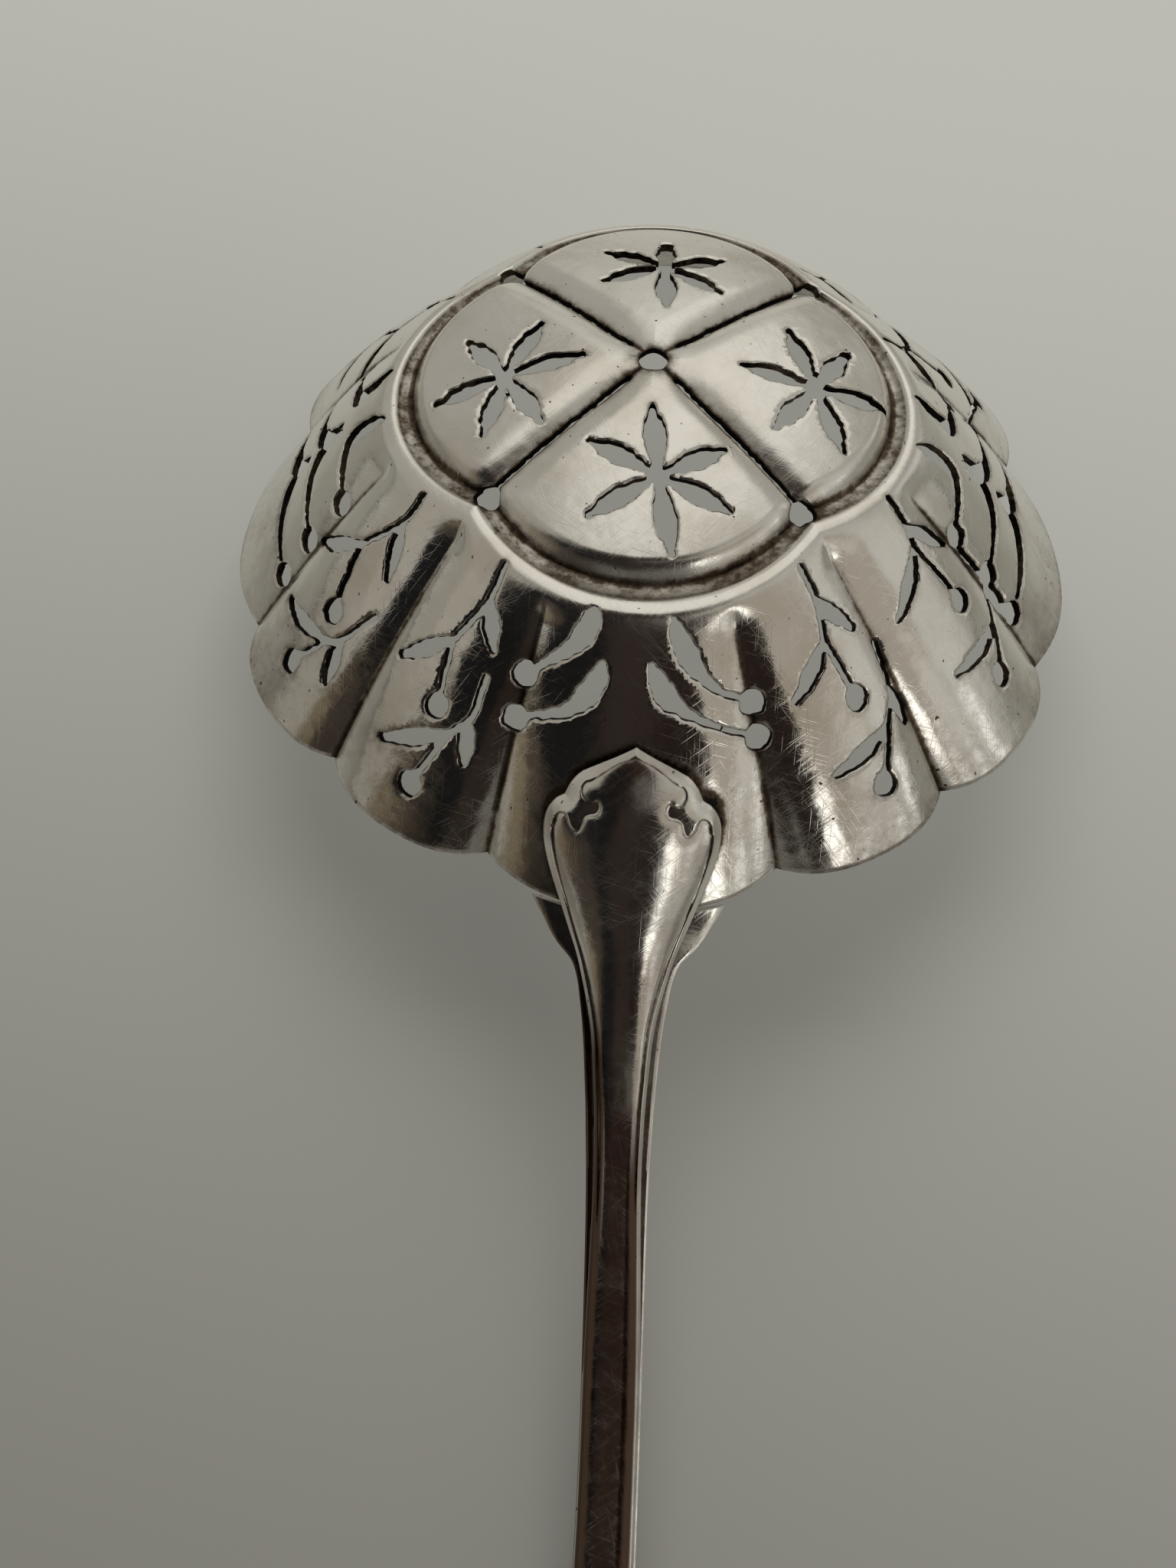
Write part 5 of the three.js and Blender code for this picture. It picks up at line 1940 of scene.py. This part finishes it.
        # Painted dark reflection: to glossy rays only, the table darkens to either side of the spoon.
        aside = graph.fit(graph.math("ABSOLUTE", split.outputs["X"]), *self.table_reflection_sides)
        dim = graph.math("MULTIPLY", rays.outputs["Is Glossy Ray"], self.table_reflection_dim)
        colour = graph.mix(graph.math("MULTIPLY", dim, aside), colour, self.table_near_shade)
        glow = graph.add("ShaderNodeEmission", {"Color": colour, "Strength": 1.0})
        seen = graph.math("MAXIMUM", rays.outputs["Is Camera Ray"], rays.outputs["Is Glossy Ray"])
        share = graph.math("MULTIPLY", seen, self.table_glow)
        shader = graph.add("ShaderNodeMixShader", {0: share, 1: lit.outputs[0], 2: glow.outputs[0]})
        graph.add("ShaderNodeOutputMaterial", {"Surface": shader.outputs[0]})
        floor.data.materials.append(material)

    def light(self) -> None:
        """Hangs the lamps and lights the room."""
        for lamp in self.lamps:
            data = bpy.data.lights.new(lamp.name, "AREA")
            data.shape = "RECTANGLE"
            data.size, data.size_y = lamp.size
            data.energy, data.color = lamp.power, lamp.colour
            made = bpy.data.objects.new(lamp.name, data)
            made.location = lamp.place
            made.visible_glossy = False
            towards = Vector(self.target) - Vector(lamp.place)
            made.rotation_euler = towards.to_track_quat("-Z", "Y").to_euler()
            bpy.context.scene.collection.objects.link(made)
        world = bpy.data.worlds.new("room")
        bpy.context.scene.world = world
        world.use_nodes = True
        graph = NodeGraph(world.node_tree)
        way = graph.add("ShaderNodeTexCoord").outputs["Generated"]
        colour: object = self.room
        for side in self.room_sides:
            near = graph.add("ShaderNodeVectorMath", {0: way, 1: side.towards()}, operation="DOT_PRODUCT")
            gone, full = (math.cos(math.radians(angle)) for angle in (side.gone, side.full))
            colour = graph.mix(graph.fit(near.outputs["Value"], gone, full), colour, side.colour)
        shader = graph.add("ShaderNodeBackground", {"Color": colour, "Strength": 1.0})
        graph.add("ShaderNodeOutputWorld", {"Surface": shader.outputs[0]})

    def camera(self) -> None:
        """Sets up the camera where the photograph was taken from."""
        data = bpy.data.cameras.new("camera")
        data.sensor_fit = "HORIZONTAL"
        data.sensor_width = self.sensor
        data.lens = self.sensor * self.focal_pixels / self.image_width
        data.clip_start, data.clip_end = self.clip
        made = bpy.data.objects.new("camera", data)
        turn = Vector(self.camera_turn)
        to_view = Matrix.Diagonal((1, -1, -1)) @ Matrix.Rotation(turn.length, 3, turn.normalized())
        rotation = self.matrix.to_3x3().normalized() @ to_view.transposed()
        made.matrix_world = Matrix.Translation(self.matrix @ Vector(self.camera_place)) @ rotation.to_4x4()
        bpy.context.scene.collection.objects.link(made)
        bpy.context.scene.camera = made

    def build(self) -> None:
        """Sets up everything round the spoon."""
        self.floor()
        self.light()
        self.camera()
        bpy.context.scene.view_settings.view_transform = "Standard"


def main() -> None:
    """Builds the spoon's pieces in order, dresses them, and sets up the studio."""
    logging.basicConfig(level=logging.INFO, format="%(name)s: %(message)s")
    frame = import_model()
    LOG.info("frame: %d solids", len(frame["nodes"]))
    shape = BowlShape()
    matrix = Rest().matrix(shape)
    handle = Handle(shape, matrix)
    bowl = Bowl(shape, matrix)
    bowl.build(Piercing(shape), handle)
    bowl.dress(
        {
            BowlFace.OUTSIDE: SilverFinish("bowl_outside"),
            BowlFace.INSIDE: SilverFinish("bowl_inside", roughness=0.3, all_over=0.1),
            BowlFace.SAWN: SilverFinish("bowl_sawn", roughness=0.4, all_over=0.75),
        # Sawn faces: tarnish, painted darker as the shade inside the sheet's thickness.
        }
    )
    LOG.info("bowl: %d faces", len(bowl.made.data.polygons))
    handle.build()
    worn_brown = (0.36, 0.28, 0.24, 1)
    handle.dress(
        SilverFinish("handle", patina=worn_brown, film=0.5, roughness=0.13, scratch_depth=0.0019)
    )
    LOG.info("handle: %d faces", len(handle.made.data.polygons))
    solder = SolderSeam(handle)
    solder.build()
    solder.dress(SilverFinish("solder", roughness=0.45, all_over=0.4))
    LOG.info("solder: %d faces", len(solder.made.data.polygons))
    Studio(matrix).build()


if __name__ == "__main__":
    main()
